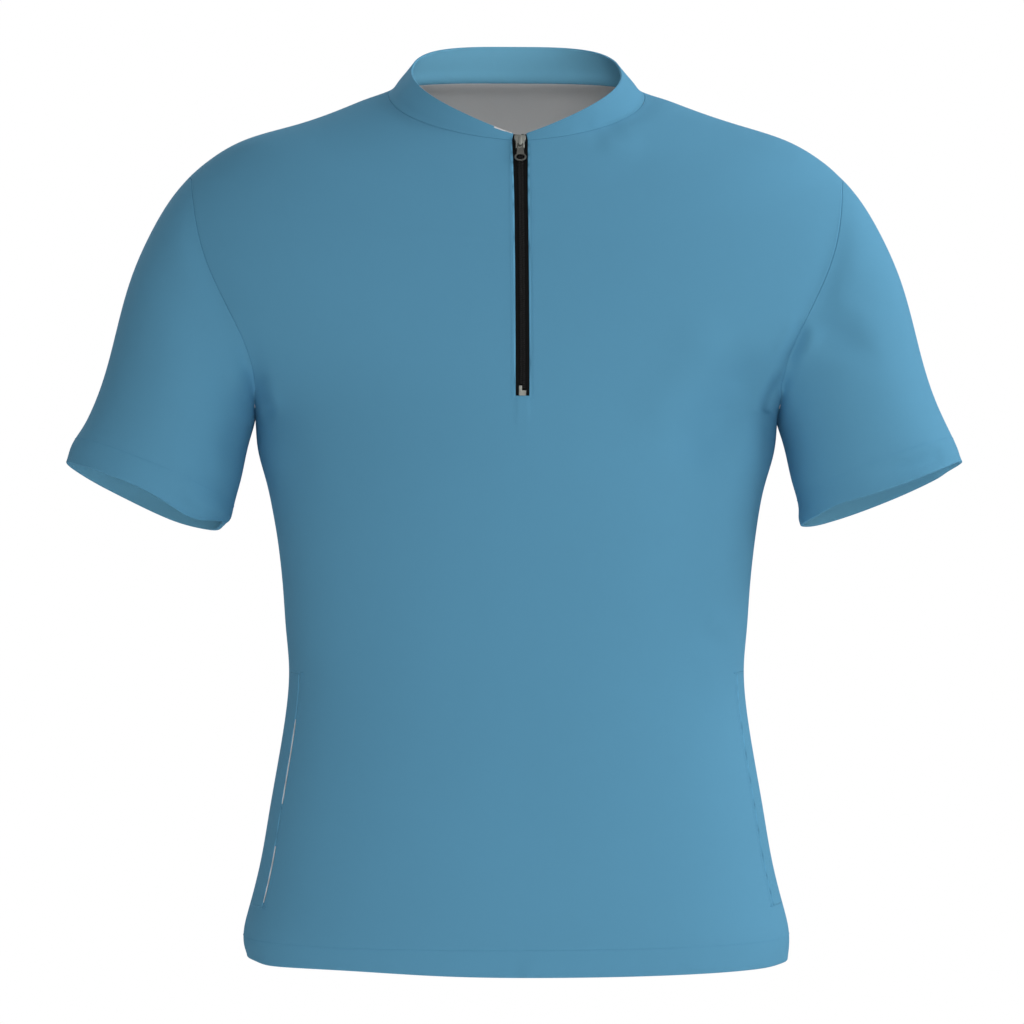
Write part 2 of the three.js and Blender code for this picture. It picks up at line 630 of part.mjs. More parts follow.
// A front plate with a channel for the teeth, a floor plate behind the tapes, and a post that joins them
// where the rows of teeth have parted.
function sliderSolid() {
  const shell = solidOf(plate(sliderOutline(0, 0), teethFoot, plateFace));
  const channel = sliderOutline(sliderWall.flange, 2 * slider.chamfer);
  const hollow = solidOf(plate(channel, teethFoot - bite, plateFoot));
  const floor = solidOf(plate(sliderOutline(0, 0), floorFace - sliderWall.plate, floorFace));
  const postFoot = sliderSpan - sliderWall.postLength;
  const wedge = outlineOf([
    [-sliderWall.postTip, postFoot], [sliderWall.postTip, postFoot],
    [sliderWall.postHalf, sliderSpan], [-sliderWall.postHalf, sliderSpan],
  ]);
  const post = solidOf(plate(wedge, floorFace - bite, plateFoot + bite));
  return shell.subtract(hollow).add(floor).add(post).add(bailSolid());
}

// The bail is an arch over the slider's face, along the zip, and the pull's bar lies under it.
const bailLow = -bail.length / 2 - bail.drop;
const bailHigh = bail.length / 2 - bail.drop;

function bailSolid() {
  const top = plateFace + bail.height;
  const outer = solidOf(box(bail.half, plateFace - bite, top, bailLow, bailHigh));
  const under = box(2 * bail.half, plateFace, top - bail.thick, bailLow + bail.thick, bailHigh - bail.thick);
  return outer.subtract(solidOf(under));
}

const sliderFrame = zipFrame(sliderMiddle);
addPiece("zip_slider", geometryOf(sliderSolid()), materials.metal, sliderFrame);

// The pull hangs from its bar. Its own frame has the bar's axis at the origin.
function pullSolid() {
  const low = -pull.thick / 2;
  const high = pull.thick / 2;
  const tab = outlineOf([
    [-pull.half, -pullRing.middle], [pull.half, -pullRing.middle], [pull.topHalf, 0],
    [pull.topHalf - pull.barRadius, pull.barRadius], [-pull.topHalf + pull.barRadius, pull.barRadius],
    [-pull.topHalf, 0],
  ]);
  const ring = new THREE.Shape();
  ring.absellipse(0, -pullRing.middle, pullRing.half, pullRing.drop, 0, 2 * Math.PI);
  const hole = new THREE.Shape();
  hole.absellipse(0, -pullRing.middle, pullRing.holeHalf, pullRing.holeDrop, 0, 2 * Math.PI);
  const eye = box(pull.eyeHalf, low - 1, high + 1, -pull.eyeDrop, -pull.barRadius);
  return solidOf(plate(tab, low, high))
    .add(solidOf(plate(ring, low, high)))
    .subtract(solidOf(plate(hole, low - 1, high + 1)))
    .subtract(solidOf(eye));
}

const pullPivot = new THREE.Group();
pullPivot.position.y = -(plateFace + layerGap + pull.barRadius);
pullPivot.position.z = bailLow + bail.thick + layerGap + pull.barRadius;
sliderFrame.add(pullPivot);
addPiece("zip_pull", geometryOf(pullSolid()), materials.pull, pullPivot);

// The bottom stop: a box across both rows, with the pin's end standing up on the wearer's right.
function bottomStopSolid() {
  const shape = outlineOf([
    [-bottomStop.half, 0], [bottomStop.half, 0], [bottomStop.half, bottomStop.height],
    [bottomStop.pinWidth - bottomStop.half, bottomStop.height],
    [bottomStop.pinWidth - bottomStop.half, bottomStop.pinHeight], [-bottomStop.half, bottomStop.pinHeight],
  ]);
  return plate(shape, teethFoot, teethFace + layerGap);
}
addPiece("zip_bottom_stop", bottomStopSolid(), materials.metal, zipFrame(zipLength - seamGap));

export default jacket;
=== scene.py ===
import math

import bmesh
import bpy
import numpy as np
from mathutils import Matrix, Vector
from mathutils.bvhtree import BVHTree


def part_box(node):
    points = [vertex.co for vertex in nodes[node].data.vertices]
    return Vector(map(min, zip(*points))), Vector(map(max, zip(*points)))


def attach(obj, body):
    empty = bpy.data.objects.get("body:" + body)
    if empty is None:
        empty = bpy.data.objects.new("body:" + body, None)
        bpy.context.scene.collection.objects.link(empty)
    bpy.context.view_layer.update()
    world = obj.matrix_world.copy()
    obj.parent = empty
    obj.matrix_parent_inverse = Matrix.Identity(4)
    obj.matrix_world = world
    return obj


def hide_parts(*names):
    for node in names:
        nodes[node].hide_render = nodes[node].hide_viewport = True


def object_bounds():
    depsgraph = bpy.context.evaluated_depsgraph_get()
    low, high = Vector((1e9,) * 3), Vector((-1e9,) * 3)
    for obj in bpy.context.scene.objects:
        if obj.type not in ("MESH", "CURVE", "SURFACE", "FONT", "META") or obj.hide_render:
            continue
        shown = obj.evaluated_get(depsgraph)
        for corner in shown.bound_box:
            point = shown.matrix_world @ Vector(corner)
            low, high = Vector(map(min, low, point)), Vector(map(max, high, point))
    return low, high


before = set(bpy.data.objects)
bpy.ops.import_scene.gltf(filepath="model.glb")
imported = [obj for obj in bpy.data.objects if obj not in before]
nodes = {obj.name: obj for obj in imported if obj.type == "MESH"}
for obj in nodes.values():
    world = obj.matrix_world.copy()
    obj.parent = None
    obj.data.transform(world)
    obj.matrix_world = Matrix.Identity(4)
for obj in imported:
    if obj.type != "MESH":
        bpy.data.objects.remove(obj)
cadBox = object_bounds()
scene = bpy.context.scene
mm = 0.001
tiny = 0.02 * mm  # a step too small to see

# The camera, floor and world
studio = {
    "aim": (-3.7 * mm, 0, -343 * mm),
    "azimuth": -2,  # degrees round from the front
    "distance": 3.0,
    "lens": 128.6,
    "floorDrop": 0.9,  # of the floor below the hem
    "floorSize": 6.0,
    "background": (1, 1, 1, 1),
    "ambient": 0.26,
}

# Azimuth and elevation in degrees, as seen from the middle of the garment.
softboxes = {
    "frontFill": {"azimuth": 6, "elevation": 22, "distance": 3.2, "size": 1.4, "power": 18.5},
    "lowFill": {"azimuth": 0, "elevation": -25, "distance": 2.2, "size": 0.7, "power": 7.5},
    "topFill": {"azimuth": 5, "elevation": 62, "distance": 2.9, "size": 1.1, "power": 5},
    "sideFill": {"azimuth": 75, "elevation": 22, "distance": 3.0, "size": 1.2, "power": 25},
    "sideKey": {"azimuth": 105, "elevation": 35, "distance": 3.0, "size": 1.2, "power": 37},
    "backFill": {"azimuth": 205, "elevation": 25, "distance": 3.2, "size": 1.6, "power": 30},
}

# A narrow light into the neck, with its cone in degrees.
neckLight = {
    "place": (0, -0.75, 0.55),
    "aim": (0, 0.09, -0.015),
    "power": 6,
    "cone": 11,
    "blend": 0.6,
    "radius": 0.04,
}


def towards(azimuth, elevation=0):
    around, up = math.radians(azimuth), math.radians(elevation)
    return Vector((math.sin(around) * math.cos(up), -math.cos(around) * math.cos(up), math.sin(up)))


def makeStudio():
    scene.view_settings.view_transform = "Standard"
    aim = Vector(studio["aim"])
    back = towards(studio["azimuth"])
    camera = bpy.data.objects.new("camera", bpy.data.cameras.new("camera"))
    camera.data.lens = studio["lens"]
    camera.data.sensor_width = 36
    camera.location = aim + back * studio["distance"]
    camera.rotation_euler = (-back).to_track_quat("-Z", "Y").to_euler()
    scene.collection.objects.link(camera)
    scene.camera = camera

    for name, box in softboxes.items():
        light = bpy.data.objects.new(name, bpy.data.lights.new(name, "AREA"))
        light.data.size = box["size"]
        light.data.energy = box["power"]
        way = towards(box["azimuth"], box["elevation"])
        light.location = aim + way * box["distance"]
        light.rotation_euler = (-way).to_track_quat("-Z", "Y").to_euler()
        scene.collection.objects.link(light)

    spot = bpy.data.objects.new("neckLight", bpy.data.lights.new("neckLight", "SPOT"))
    spot.data.energy = neckLight["power"]
    spot.data.spot_size = math.radians(neckLight["cone"])
    spot.data.spot_blend = neckLight["blend"]
    spot.data.shadow_soft_size = neckLight["radius"]
    spot.location = neckLight["place"]
    spot.rotation_euler = (Vector(neckLight["aim"]) - spot.location).to_track_quat("-Z", "Y").to_euler()
    scene.collection.objects.link(spot)

    # The camera sees a white world, and the cloth is lit by a dimmer one.
    world = bpy.data.worlds.new("world")
    scene.world = world
    world.use_nodes = True
    tree = world.node_tree
    tree.nodes.clear()
    output = tree.nodes.new("ShaderNodeOutputWorld")
    seen = tree.nodes.new("ShaderNodeBackground")
    lit = tree.nodes.new("ShaderNodeBackground")
    seen.inputs["Color"].default_value = studio["background"]
    lit.inputs["Color"].default_value = studio["background"]
    lit.inputs["Strength"].default_value = studio["ambient"]
    rays = tree.nodes.new("ShaderNodeLightPath")
    mix = tree.nodes.new("ShaderNodeMixShader")
    tree.links.new(rays.outputs["Is Camera Ray"], mix.inputs[0])
    tree.links.new(lit.outputs[0], mix.inputs[1])
    tree.links.new(seen.outputs[0], mix.inputs[2])
    tree.links.new(mix.outputs[0], output.inputs[0])

    bm = bmesh.new()
    bmesh.ops.create_grid(bm, x_segments=1, y_segments=1, size=studio["floorSize"] / 2)
    bmesh.ops.translate(bm, verts=bm.verts, vec=(0, 0, cadBox[0].z - studio["floorDrop"]))
    floor = meshObject("floor", bm)
    floor.data.materials.append(paleFloor())


def meshObject(name, bm):
    mesh = bpy.data.meshes.new(name)
    bm.to_mesh(mesh)
    bm.free()
    piece = bpy.data.objects.new(name, mesh)
    scene.collection.objects.link(piece)
    return piece


def newMaterial(name):
    material = bpy.data.materials.new(name)
    material.use_nodes = True
    return material, material.node_tree.nodes["Principled BSDF"]


def paleFloor():
    material, shader = newMaterial("paleFloor")
    shader.inputs["Base Color"].default_value = (0.86, 0.86, 0.85, 1)
    shader.inputs["Roughness"].default_value = 0.9
    return material


# A group that turns places and its own values into a colour, a roughness and a height.
def newGroup(name, inputs):
    group = bpy.data.node_groups.new(name, "ShaderNodeTree")
    for label, value in inputs.items():
        kind = "Color" if label.endswith("Colour") else "Float"
        if value is None:
            kind = "Vector"
        socket = group.interface.new_socket(label, in_out="INPUT", socket_type="NodeSocket" + kind)
        if value is not None:
            socket.default_value = value
    for label, kind in (("Color", "Color"), ("Roughness", "Float"), ("Height", "Float")):
        group.interface.new_socket(label, in_out="OUTPUT", socket_type="NodeSocket" + kind)
    return group, group.nodes.new("NodeGroupInput").outputs, group.nodes.new("NodeGroupOutput").inputs


def feed(tree, socket, value):
    if isinstance(value, bpy.types.NodeSocket):
        tree.links.new(value, socket)
    else:
        socket.default_value = value


def maths(tree, operation, *values, clamp=False):
    node = tree.nodes.new("ShaderNodeMath")
    node.operation = operation
    node.use_clamp = clamp
    for socket, value in zip(node.inputs, values):
        feed(tree, socket, value)
    return node.outputs[0]


def mixedColour(tree, share, low, high):
    node = tree.nodes.new("ShaderNodeMix")
    node.data_type = "RGBA"
    feed(tree, node.inputs[0], share)
    feed(tree, node.inputs[6], low)
    feed(tree, node.inputs[7], high)
    return node.outputs[2]


def noiseValue(tree, vector, scale, detail=2, roughness=0.5):
    node = tree.nodes.new("ShaderNodeTexNoise")
    node.inputs["Scale"].default_value = scale
    node.inputs["Detail"].default_value = detail
    node.inputs["Roughness"].default_value = roughness
    tree.links.new(vector, node.inputs["Vector"])
    return node.outputs["Fac"]


# Columns of knitted loops, each a pair of legs that lean together, with painted shade in the gaps
# between them. Its vector is the cut's own flat coordinates in metres, and its place the garment's.
def knitGroup():
    group, given, put = newGroup(
        "knit",
        {
            "Flat": None,
            "Place": None,
            "Face Colour": (0.14, 0.40, 0.61, 1),
            "Gap Shade Colour": (0.08, 0.24, 0.37, 1),
            "Wale": 0.9 * mm,
            "Course": 0.72 * mm,
            "Mottle": 0.05,
            "Roughness": 0.8,
        },
    )
    split = group.nodes.new("ShaderNodeSeparateXYZ")
    group.links.new(given["Flat"], split.inputs[0])
    column = maths(group, "FRACT", maths(group, "DIVIDE", split.outputs[0], given["Wale"]))
    fromMiddle = maths(group, "ABSOLUTE", maths(group, "SUBTRACT", column, 0.5))
    courses = maths(group, "DIVIDE", split.outputs[1], given["Course"])
    row = maths(group, "MULTIPLY_ADD", fromMiddle, 1.1, courses)
    fromLeg = maths(group, "MULTIPLY", maths(group, "SUBTRACT", fromMiddle, 0.25), 4)
    legRound = maths(group, "SUBTRACT", 1, maths(group, "MULTIPLY", fromLeg, fromLeg), clamp=True)
    legLong = maths(group, "SINE", maths(group, "MULTIPLY", maths(group, "FRACT", row), math.pi))
    loop = maths(group, "MULTIPLY", legRound, maths(group, "MULTIPLY_ADD", legLong, 0.5, 0.5))
    fuzz = noiseValue(group, given["Place"], 1900, detail=3)
    height = maths(group, "MULTIPLY_ADD", fuzz, 0.25, loop)
    group.links.new(height, put["Height"])

    # The gap colour is painted shade in the hollows between the loops.
    yarnAndGapShade = mixedColour(group, loop, given["Gap Shade Colour"], given["Face Colour"])
    broad = maths(group, "SUBTRACT", noiseValue(group, given["Place"], 7, detail=3), 0.5)
    tone = maths(group, "MULTIPLY_ADD", broad, given["Mottle"], 1)
    shade = group.nodes.new("ShaderNodeVectorMath")
    shade.operation = "SCALE"
    group.links.new(yarnAndGapShade, shade.inputs[0])
    group.links.new(tone, shade.inputs["Scale"])
    group.links.new(shade.outputs[0], put["Color"])
    rough = maths(group, "MULTIPLY_ADD", loop, -0.08, given["Roughness"])
    group.links.new(rough, put["Roughness"])
    return group


# Threads that cross over and under each other, or a mesh where the gaps are wide; the gaps get painted shade.
def weaveGroup():
    group, given, put = newGroup(
        "weave",
        {
            "Flat": None,
            "Place": None,
            "Thread Colour": (0.8, 0.8, 0.8, 1),
            "Gap Shade Colour": (0.5, 0.5, 0.5, 1),
            "Pitch": 0.5 * mm,
            "Roughness": 0.85,
        },
    )
    split = group.nodes.new("ShaderNodeSeparateXYZ")
    group.links.new(given["Flat"], split.inputs[0])
    waves = []
    for axis in (0, 1):
        turn = maths(group, "MULTIPLY", maths(group, "DIVIDE", split.outputs[axis], given["Pitch"]), math.pi)
        waves.append(maths(group, "ABSOLUTE", maths(group, "SINE", turn)))
    knot = maths(group, "POWER", maths(group, "MULTIPLY", *waves), 0.6)
    # The gap colour is painted shade between the threads.
    group.links.new(mixedColour(group, knot, given["Gap Shade Colour"], given["Thread Colour"]), put["Color"])
    fuzz = noiseValue(group, given["Place"], 2200, detail=3)
    group.links.new(maths(group, "MULTIPLY_ADD", fuzz, 0.3, knot), put["Height"])
    group.links.new(maths(group, "MULTIPLY_ADD", fuzz, 0.1, given["Roughness"]), put["Roughness"])
    return group


# Patches of two tones, with fine marks in the gloss.
def wearGroup():
    group, given, put = newGroup(
        "wear",
        {
            "Place": None,
            "Main Colour": (0.5, 0.5, 0.5, 1),
            "Worn Colour": (0.4, 0.4, 0.4, 1),
            "Roughness": 0.4,
        },
    )
    patches = noiseValue(group, given["Place"], 300, detail=4, roughness=0.6)
    share = maths(group, "MULTIPLY_ADD", patches, 2, -0.5, clamp=True)
    group.links.new(mixedColour(group, share, given["Main Colour"], given["Worn Colour"]), put["Color"])
    fine = noiseValue(group, given["Place"], 2600, detail=3)
    group.links.new(maths(group, "MULTIPLY_ADD", fine, 0.2, given["Roughness"]), put["Roughness"])
    group.links.new(fine, put["Height"])
    return group


# Each material: its group, its relief in millimetres, its shader's own values, and the group's values.
black = (0.0115, 0.0115, 0.0115)
knitShader = {"Sheen Weight": 0.01, "Sheen Roughness": 0.45, "Specular IOR Level": 0.05}


# gap is the colour of the painted shade between the loops.
def knitLook(face, gap, roughness=0.88):
    return "knit", 0.12, knitShader, {"Face Colour": face, "Gap Shade Colour": gap, "Roughness": roughness}


# gap is the colour of the painted shade between the threads.
def weaveLook(relief, specular, thread, gap, pitch):
    values = {"Thread Colour": thread, "Gap Shade Colour": gap, "Pitch": pitch * mm}
    return "weave", relief, {"Specular IOR Level": specular}, values


def wearLook(relief, shaderValues, main, worn, roughness):
    return "wear", relief, shaderValues, {"Main Colour": main, "Worn Colour": worn, "Roughness": roughness}


# The second colour of each knit and weave is painted shade in the gaps between its yarns.
materialLooks = {
    "faceCloth": knitLook((0.148, 0.430, 0.655), (0.09, 0.27, 0.42)),
    # The turned-in face cloth, painted lighter than faceCloth as painted light on the insides of the hems,
    # cuffs and collar.
    "facingClothPaintedLight": knitLook((0.235, 0.61, 0.85), (0.155, 0.42, 0.61)),
    "wrongSide": knitLook((0.86, 0.86, 0.86), (0.66, 0.66, 0.66), 0.9),
    "tapeCloth": weaveLook(0.05, 0.15, black, (0.005, 0.005, 0.005), 0.4),
    "liningMesh": weaveLook(0.1, 0.1, (0.82, 0.82, 0.82), (0.5, 0.5, 0.5), 0.9),
    "coil": wearLook(0.01, {"Specular IOR Level": 0.25}, black, (0.016, 0.016, 0.016), 0.45),
    "silver": wearLook(0.01, {"Metallic": 1}, (0.36, 0.37, 0.34), (0.29, 0.3, 0.275), 0.42),
    "gunmetal": wearLook(0.01, {"Metallic": 1}, (0.17, 0.17, 0.155), (0.12, 0.12, 0.11), 0.38),
    "thread": wearLook(0.02, {"Specular IOR Level": 0.1}, (0.13, 0.385, 0.59), (0.11, 0.34, 0.53), 0.7),
}


def groupMaterial(name, kind, relief, shaderValues, groupValues):
    material, shader = newMaterial(name)
    tree = material.node_tree
    coords = tree.nodes.new("ShaderNodeTexCoord")
    pattern = tree.nodes.new("ShaderNodeGroup")
    pattern.node_tree = groups[kind]
    tree.links.new(coords.outputs["Object"], pattern.inputs["Place"])
    if "Flat" in pattern.inputs:
        tree.links.new(coords.outputs["UV"], pattern.inputs["Flat"])
    for label, value in groupValues.items():
        pattern.inputs[label].default_value = (*value, 1) if label.endswith("Colour") else value
    for label, value in shaderValues.items():
        shader.inputs[label].default_value = value
    bump = tree.nodes.new("ShaderNodeBump")
    bump.inputs["Strength"].default_value = 1
    bump.inputs["Distance"].default_value = relief * mm
    tree.links.new(pattern.outputs["Color"], shader.inputs["Base Color"])
    tree.links.new(pattern.outputs["Roughness"], shader.inputs["Roughness"])
    tree.links.new(pattern.outputs["Height"], bump.inputs["Height"])
    tree.links.new(bump.outputs[0], shader.inputs["Normal"])
    return material


def smoothed(share):
    share = np.clip(share, 0, 1)
    return share * share * (3 - 2 * share)


# The garment's whole surface, made from the CAD's outer faces
cloth = {
    "wall": 2 * mm,
    "hemWall": 3 * mm,
    "hemDepth": 25 * mm,
    "hemStep": 1.2 * mm,  # over which the wall thins again above a hem
    "bend": math.radians(38),  # faces that meet at more than this are a wall's two sides
    "facing": 0.7,  # of a face that looks outwards for certain
    "gap": 0.6 * mm,  # more than the gap between two pieces at a seam
    "weld": 1.7 * mm,
    "tight": 3 * mm,  # of the rows that aren't fitted
    "levels": 3,
    "zipFoot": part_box("zip_tape_left")[0].z,
    "zipColumn": 8 * mm,  # from the middle
    "zipMargin": 20 * mm,  # above and below that foot, within which the opening ends
    "spread": 1.1,
    "spreadOver": 60 * mm,
}

# The grain runs straight up where none is given. Each sheet also lists its flat size and area.
clothPieces = {
    "front_panel": {"outward": (0, -1, 0), "flat": (0.568, 0.76), "area": 0.3506},
    "back_panel": {"outward": (0, 1, 0), "flat": (0.571, 0.787), "area": 0.3864},
    "sleeve_left": {"outward": (0, -1, 0), "grain": (-0.35, 0, 0.94), "flat": (0.438, 0.28), "area": 0.0773},
    "sleeve_right": {"outward": (0, -1, 0), "grain": (0.35, 0, 0.94), "flat": (0.438, 0.28), "area": 0.0773},
    "collar": {"outward": (0, 1, 0), "flat": (0.554, 0.029), "area": 0.0128},
    "pocket_facing_left": {"outward": (0.8, -0.6, 0), "flat": (0.052, 0.195), "area": 0.0092},
    "pocket_facing_right": {"outward": (-0.8, -0.6, 0), "flat": (0.051, 0.195), "area": 0.0089},
}
order = list(clothPieces)


def fromMesh(mesh):
    bm = bmesh.new()
    bm.from_mesh(mesh)
    return bm


def nodeTree(name):
    bm = fromMesh(nodes[name].data)
    tree = BVHTree.FromBMesh(bm)
    bm.free()
    return tree


walls = {name: nodeTree(name) for name in order}


# Whether a face looks at another piece across a seam's gap. Under the arms the rim's strip turns into the
# wall's side with hardly a bend, so this is what tells it.
def atSeam(face, name):
    start = face.calc_center_median()
    others = [wall for piece, wall in walls.items() if piece != name]
    return any(wall.ray_cast(start, face.normal, cloth["gap"])[0] for wall in others)


# One side of a node's wall: every face that is reached from the most outward one without a sharp bend.
def outerSheet(name, outward, atSeams=True):
    bm = fromMesh(nodes[name].data)
    bmesh.ops.remove_doubles(bm, verts=bm.verts, dist=0.01 * mm)
    outward = Vector(outward)
    facing = [face for face in bm.faces if face.normal.dot(outward) > cloth["facing"]]
    first = max(facing, key=lambda face: face.calc_center_median().dot(outward))
    kept, waiting = {first}, [first]
    barred = {face for face in bm.faces if atSeams and atSeam(face, name)}
    while waiting:
        face = waiting.pop()
        for edge in face.edges:
            for other in set(edge.link_faces) - kept - barred:
                if face.normal.angle(other.normal) < cloth["bend"]:
                    kept.add(other)
                    waiting.append(other)
    bmesh.ops.delete(bm, geom=[face for face in bm.faces if face not in kept], context="FACES")
    bmesh.ops.join_triangles(
        bm,
        faces=bm.faces,
        angle_face_threshold=math.pi / 2,
        angle_shape_threshold=math.pi,
        topology_influence=1.3,  # this joins them into the grid that they were cut from
    )
    # Below the zip the narrow columns in its line open out, so that the surface runs on evenly.
    for vert in bm.verts:
        if abs(vert.co.x) < cloth["zipColumn"]:
            below = smoothed((cloth["zipFoot"] - vert.co.z) / cloth["spreadOver"])
            vert.co.x *= 1 + cloth["spread"] * float(below)
    return bm


# Lays a sheet flat in its UV map, in metres, with the grain up. A tube is first cut along its underside.
def layFlat(bm, name, grain):
    grain = Vector(grain).normalized()
    if "sleeve" in name:
        markUnderarm(bm)
    mesh = bpy.data.meshes.new(name)
    bm.to_mesh(mesh)
    bm.free()
    while mesh.uv_layers:
        mesh.uv_layers.remove(mesh.uv_layers[0])
    mesh.uv_layers.new(name="cut")
    flat = bpy.data.objects.new(name + "_flat", mesh)
    scene.collection.objects.link(flat)
    bpy.context.view_layer.objects.active = flat
    flat.select_set(True)
    bpy.ops.object.mode_set(mode="EDIT")
    bpy.ops.mesh.select_all(action="SELECT")
    bpy.ops.uv.unwrap(method="ANGLE_BASED", margin=0)
    bpy.ops.object.mode_set(mode="OBJECT")
    bpy.data.objects.remove(flat)

    corners = np.zeros(len(mesh.loops) * 2)
    mesh.uv_layers[0].uv.foreach_get("vector", corners)
    corners = corners.reshape(-1, 2)
    height = np.array([mesh.vertices[loop.vertex_index].co.dot(grain) for loop in mesh.loops])
    known = np.column_stack([corners, np.ones(len(corners))])
    up = np.linalg.lstsq(known, height, rcond=None)[0][:2]
    up /= np.linalg.norm(up)
    corners = corners @ np.array([[up[1], up[0]], [-up[0], up[1]]])

    def flatArea(face):
        x, y = corners[list(face.loop_indices)].T
        return abs(np.dot(x, np.roll(y, -1)) - np.dot(y, np.roll(x, -1))) / 2

    area = sum(face.area for face in mesh.polygons)
    corners *= math.sqrt(area / sum(flatArea(face) for face in mesh.polygons))
    mesh.uv_layers[0].uv.foreach_set("vector", corners.ravel())
    size = corners.max(0) - corners.min(0)
    print(f"{name}: cut {size[0]:.3f} x {size[1]:.3f} m, {area:.4f} m2")
    return mesh


# The underarm line of a sleeve: from the armhole's lowest point, always on along the sleeve. The armhole's
# points lie within the reach of its innermost one.
underarm = {"way": (0.2, -0.2, -0.95), "reach": 30 * mm, "least": 0.5}


def markUnderarm(bm):
    rim = [vert for vert in bm.verts if vert.is_boundary]
    inner = min(abs(vert.co.x) for vert in rim)
    armhole = [vert for vert in rim if abs(vert.co.x) < inner + underarm["reach"]]
    vert = min(armhole, key=lambda v: abs(v.co.y) - v.co.z * 0.01)  # the middle one, and not the upper
    across, forward, down = underarm["way"]
    along = Vector((math.copysign(across, vert.co.x), forward, down)).normalized()
    while True:
        steps = {}
        for edge in vert.link_edges:
            steps[edge] = (edge.other_vert(vert).co - vert.co).normalized().dot(along)
        edge = max(steps, key=steps.get)
        if steps[edge] < underarm["least"]:
            return
        edge.seam = True
        vert = edge.other_vert(vert)


def subdivided(mesh, levels):
    whole = bpy.data.objects.new("whole", mesh)
    scene.collection.objects.link(whole)
    smooth = whole.modifiers.new("smooth", "SUBSURF")
    smooth.levels = smooth.render_levels = levels
    smooth.boundary_smooth = "PRESERVE_CORNERS"
    found = bpy.data.meshes.new_from_object(whole.evaluated_get(bpy.context.evaluated_depsgraph_get()))
    bpy.data.objects.remove(whole)
    return found


# A value of each of a mesh's points, as rows of three: their places or their normals.
def points(mesh, value="co"):
    flat = np.zeros(len(mesh.vertices) * 3)
    mesh.vertices.foreach_get(value, flat)
    return flat.reshape(-1, 3)


# The shortest edge at each point.
def shortestAt(mesh):
    ends = np.zeros(len(mesh.edges) * 2, int)
    mesh.edges.foreach_get("vertices", ends)
    ends = ends.reshape(-1, 2)
    places = points(mesh)
    lengths = np.linalg.norm(places[ends[:, 0]] - places[ends[:, 1]], axis=1)
    shortest = np.full(len(places), np.inf)
    for side in (0, 1):
        np.minimum.at(shortest, ends[:, side], lengths)
    return shortest


# A smooth surface through a coarse one's points: the cage is moved out along its normals until it passes
# through them. An open edge is moved in every direction, and the tight rows beside a seam stay soft.
def fitted(mesh, levels, rim):
    wanted = points(mesh)
    normals = points(mesh, "normal")
    loose = shortestAt(mesh) > cloth["tight"]
    cage = wanted.copy()
    for turn in range(4):
        mesh.vertices.foreach_set("co", cage.ravel())
        missing = wanted - points(subdivided(mesh, levels))[: len(wanted)]
        lift = normals * ((missing * normals).sum(1) * loose)[:, None]
        cage += np.where(rim[:, None], missing, lift)
    mesh.vertices.foreach_set("co", cage.ravel())
    return subdivided(mesh, levels)


# Sews the pieces together: each rim point joins the nearest one of an earlier piece.
def sewn(bm):
    rim = [vert for vert in bm.verts if vert.is_boundary]
    owner = np.array([vert.link_faces[0].material_index for vert in rim])
    places = np.array([vert.co for vert in rim])
    targets = {}
    for number, vert in enumerate(rim):
        away = np.linalg.norm(places - places[number], axis=1)
        away[owner >= owner[number]] = np.inf
        nearest = away.argmin()
        if away[nearest] < cloth["weld"]:
            targets[vert] = targets.get(rim[nearest], rim[nearest])
    bmesh.ops.weld_verts(bm, targetmap=targets)


def wholeSurface():
    bm = bmesh.new()
    for index, (name, piece) in enumerate(clothPieces.items()):
        sheet = outerSheet(name, piece["outward"])
        for face in sheet.faces:
            face.material_index = index
        bm.from_mesh(layFlat(sheet, name, piece.get("grain", (0, 0, 1))))
    sewn(bm)
    crease = bm.verts.layers.float.new("crease_vert")
    lowest = cloth["zipFoot"] - cloth["zipMargin"]
    for vert in bm.verts:
        inColumn = vert.co.z > lowest and abs(vert.co.x) < cloth["zipColumn"]
        if inColumn and vert.is_boundary and len(vert.link_faces) == 3:
            vert[crease] = 1  # the lower corners of the zip's opening
    rim = np.array([vert.is_boundary for vert in bm.verts])
    mesh = bpy.data.meshes.new("whole")
    bm.to_mesh(mesh)
    bm.free()
    return fitted(mesh, cloth["levels"], rim)


# A soft pull where the cloth hangs away from its even form, with its place, reach and move in millimetres. It
# takes only the side that faces its way, if that is given.
def pull(at, reach, move, facing=None):
    return {"at": at, "reach": reach, "move": move, "facing": facing}


# A soft trough along a path over the front or the back, as across and up in millimetres, with a low ridge
# along both its sides. A depth below zero makes it a ridge. It goes straight in from the front or the back,
# so that the two sides of a tight crease can't meet. It fades in and out over shares of its length.
def fold(width, depth, *path, fade=(0.3, 0.3)):
    return {"path": path, "width": width, "depth": depth, "fade": fade}


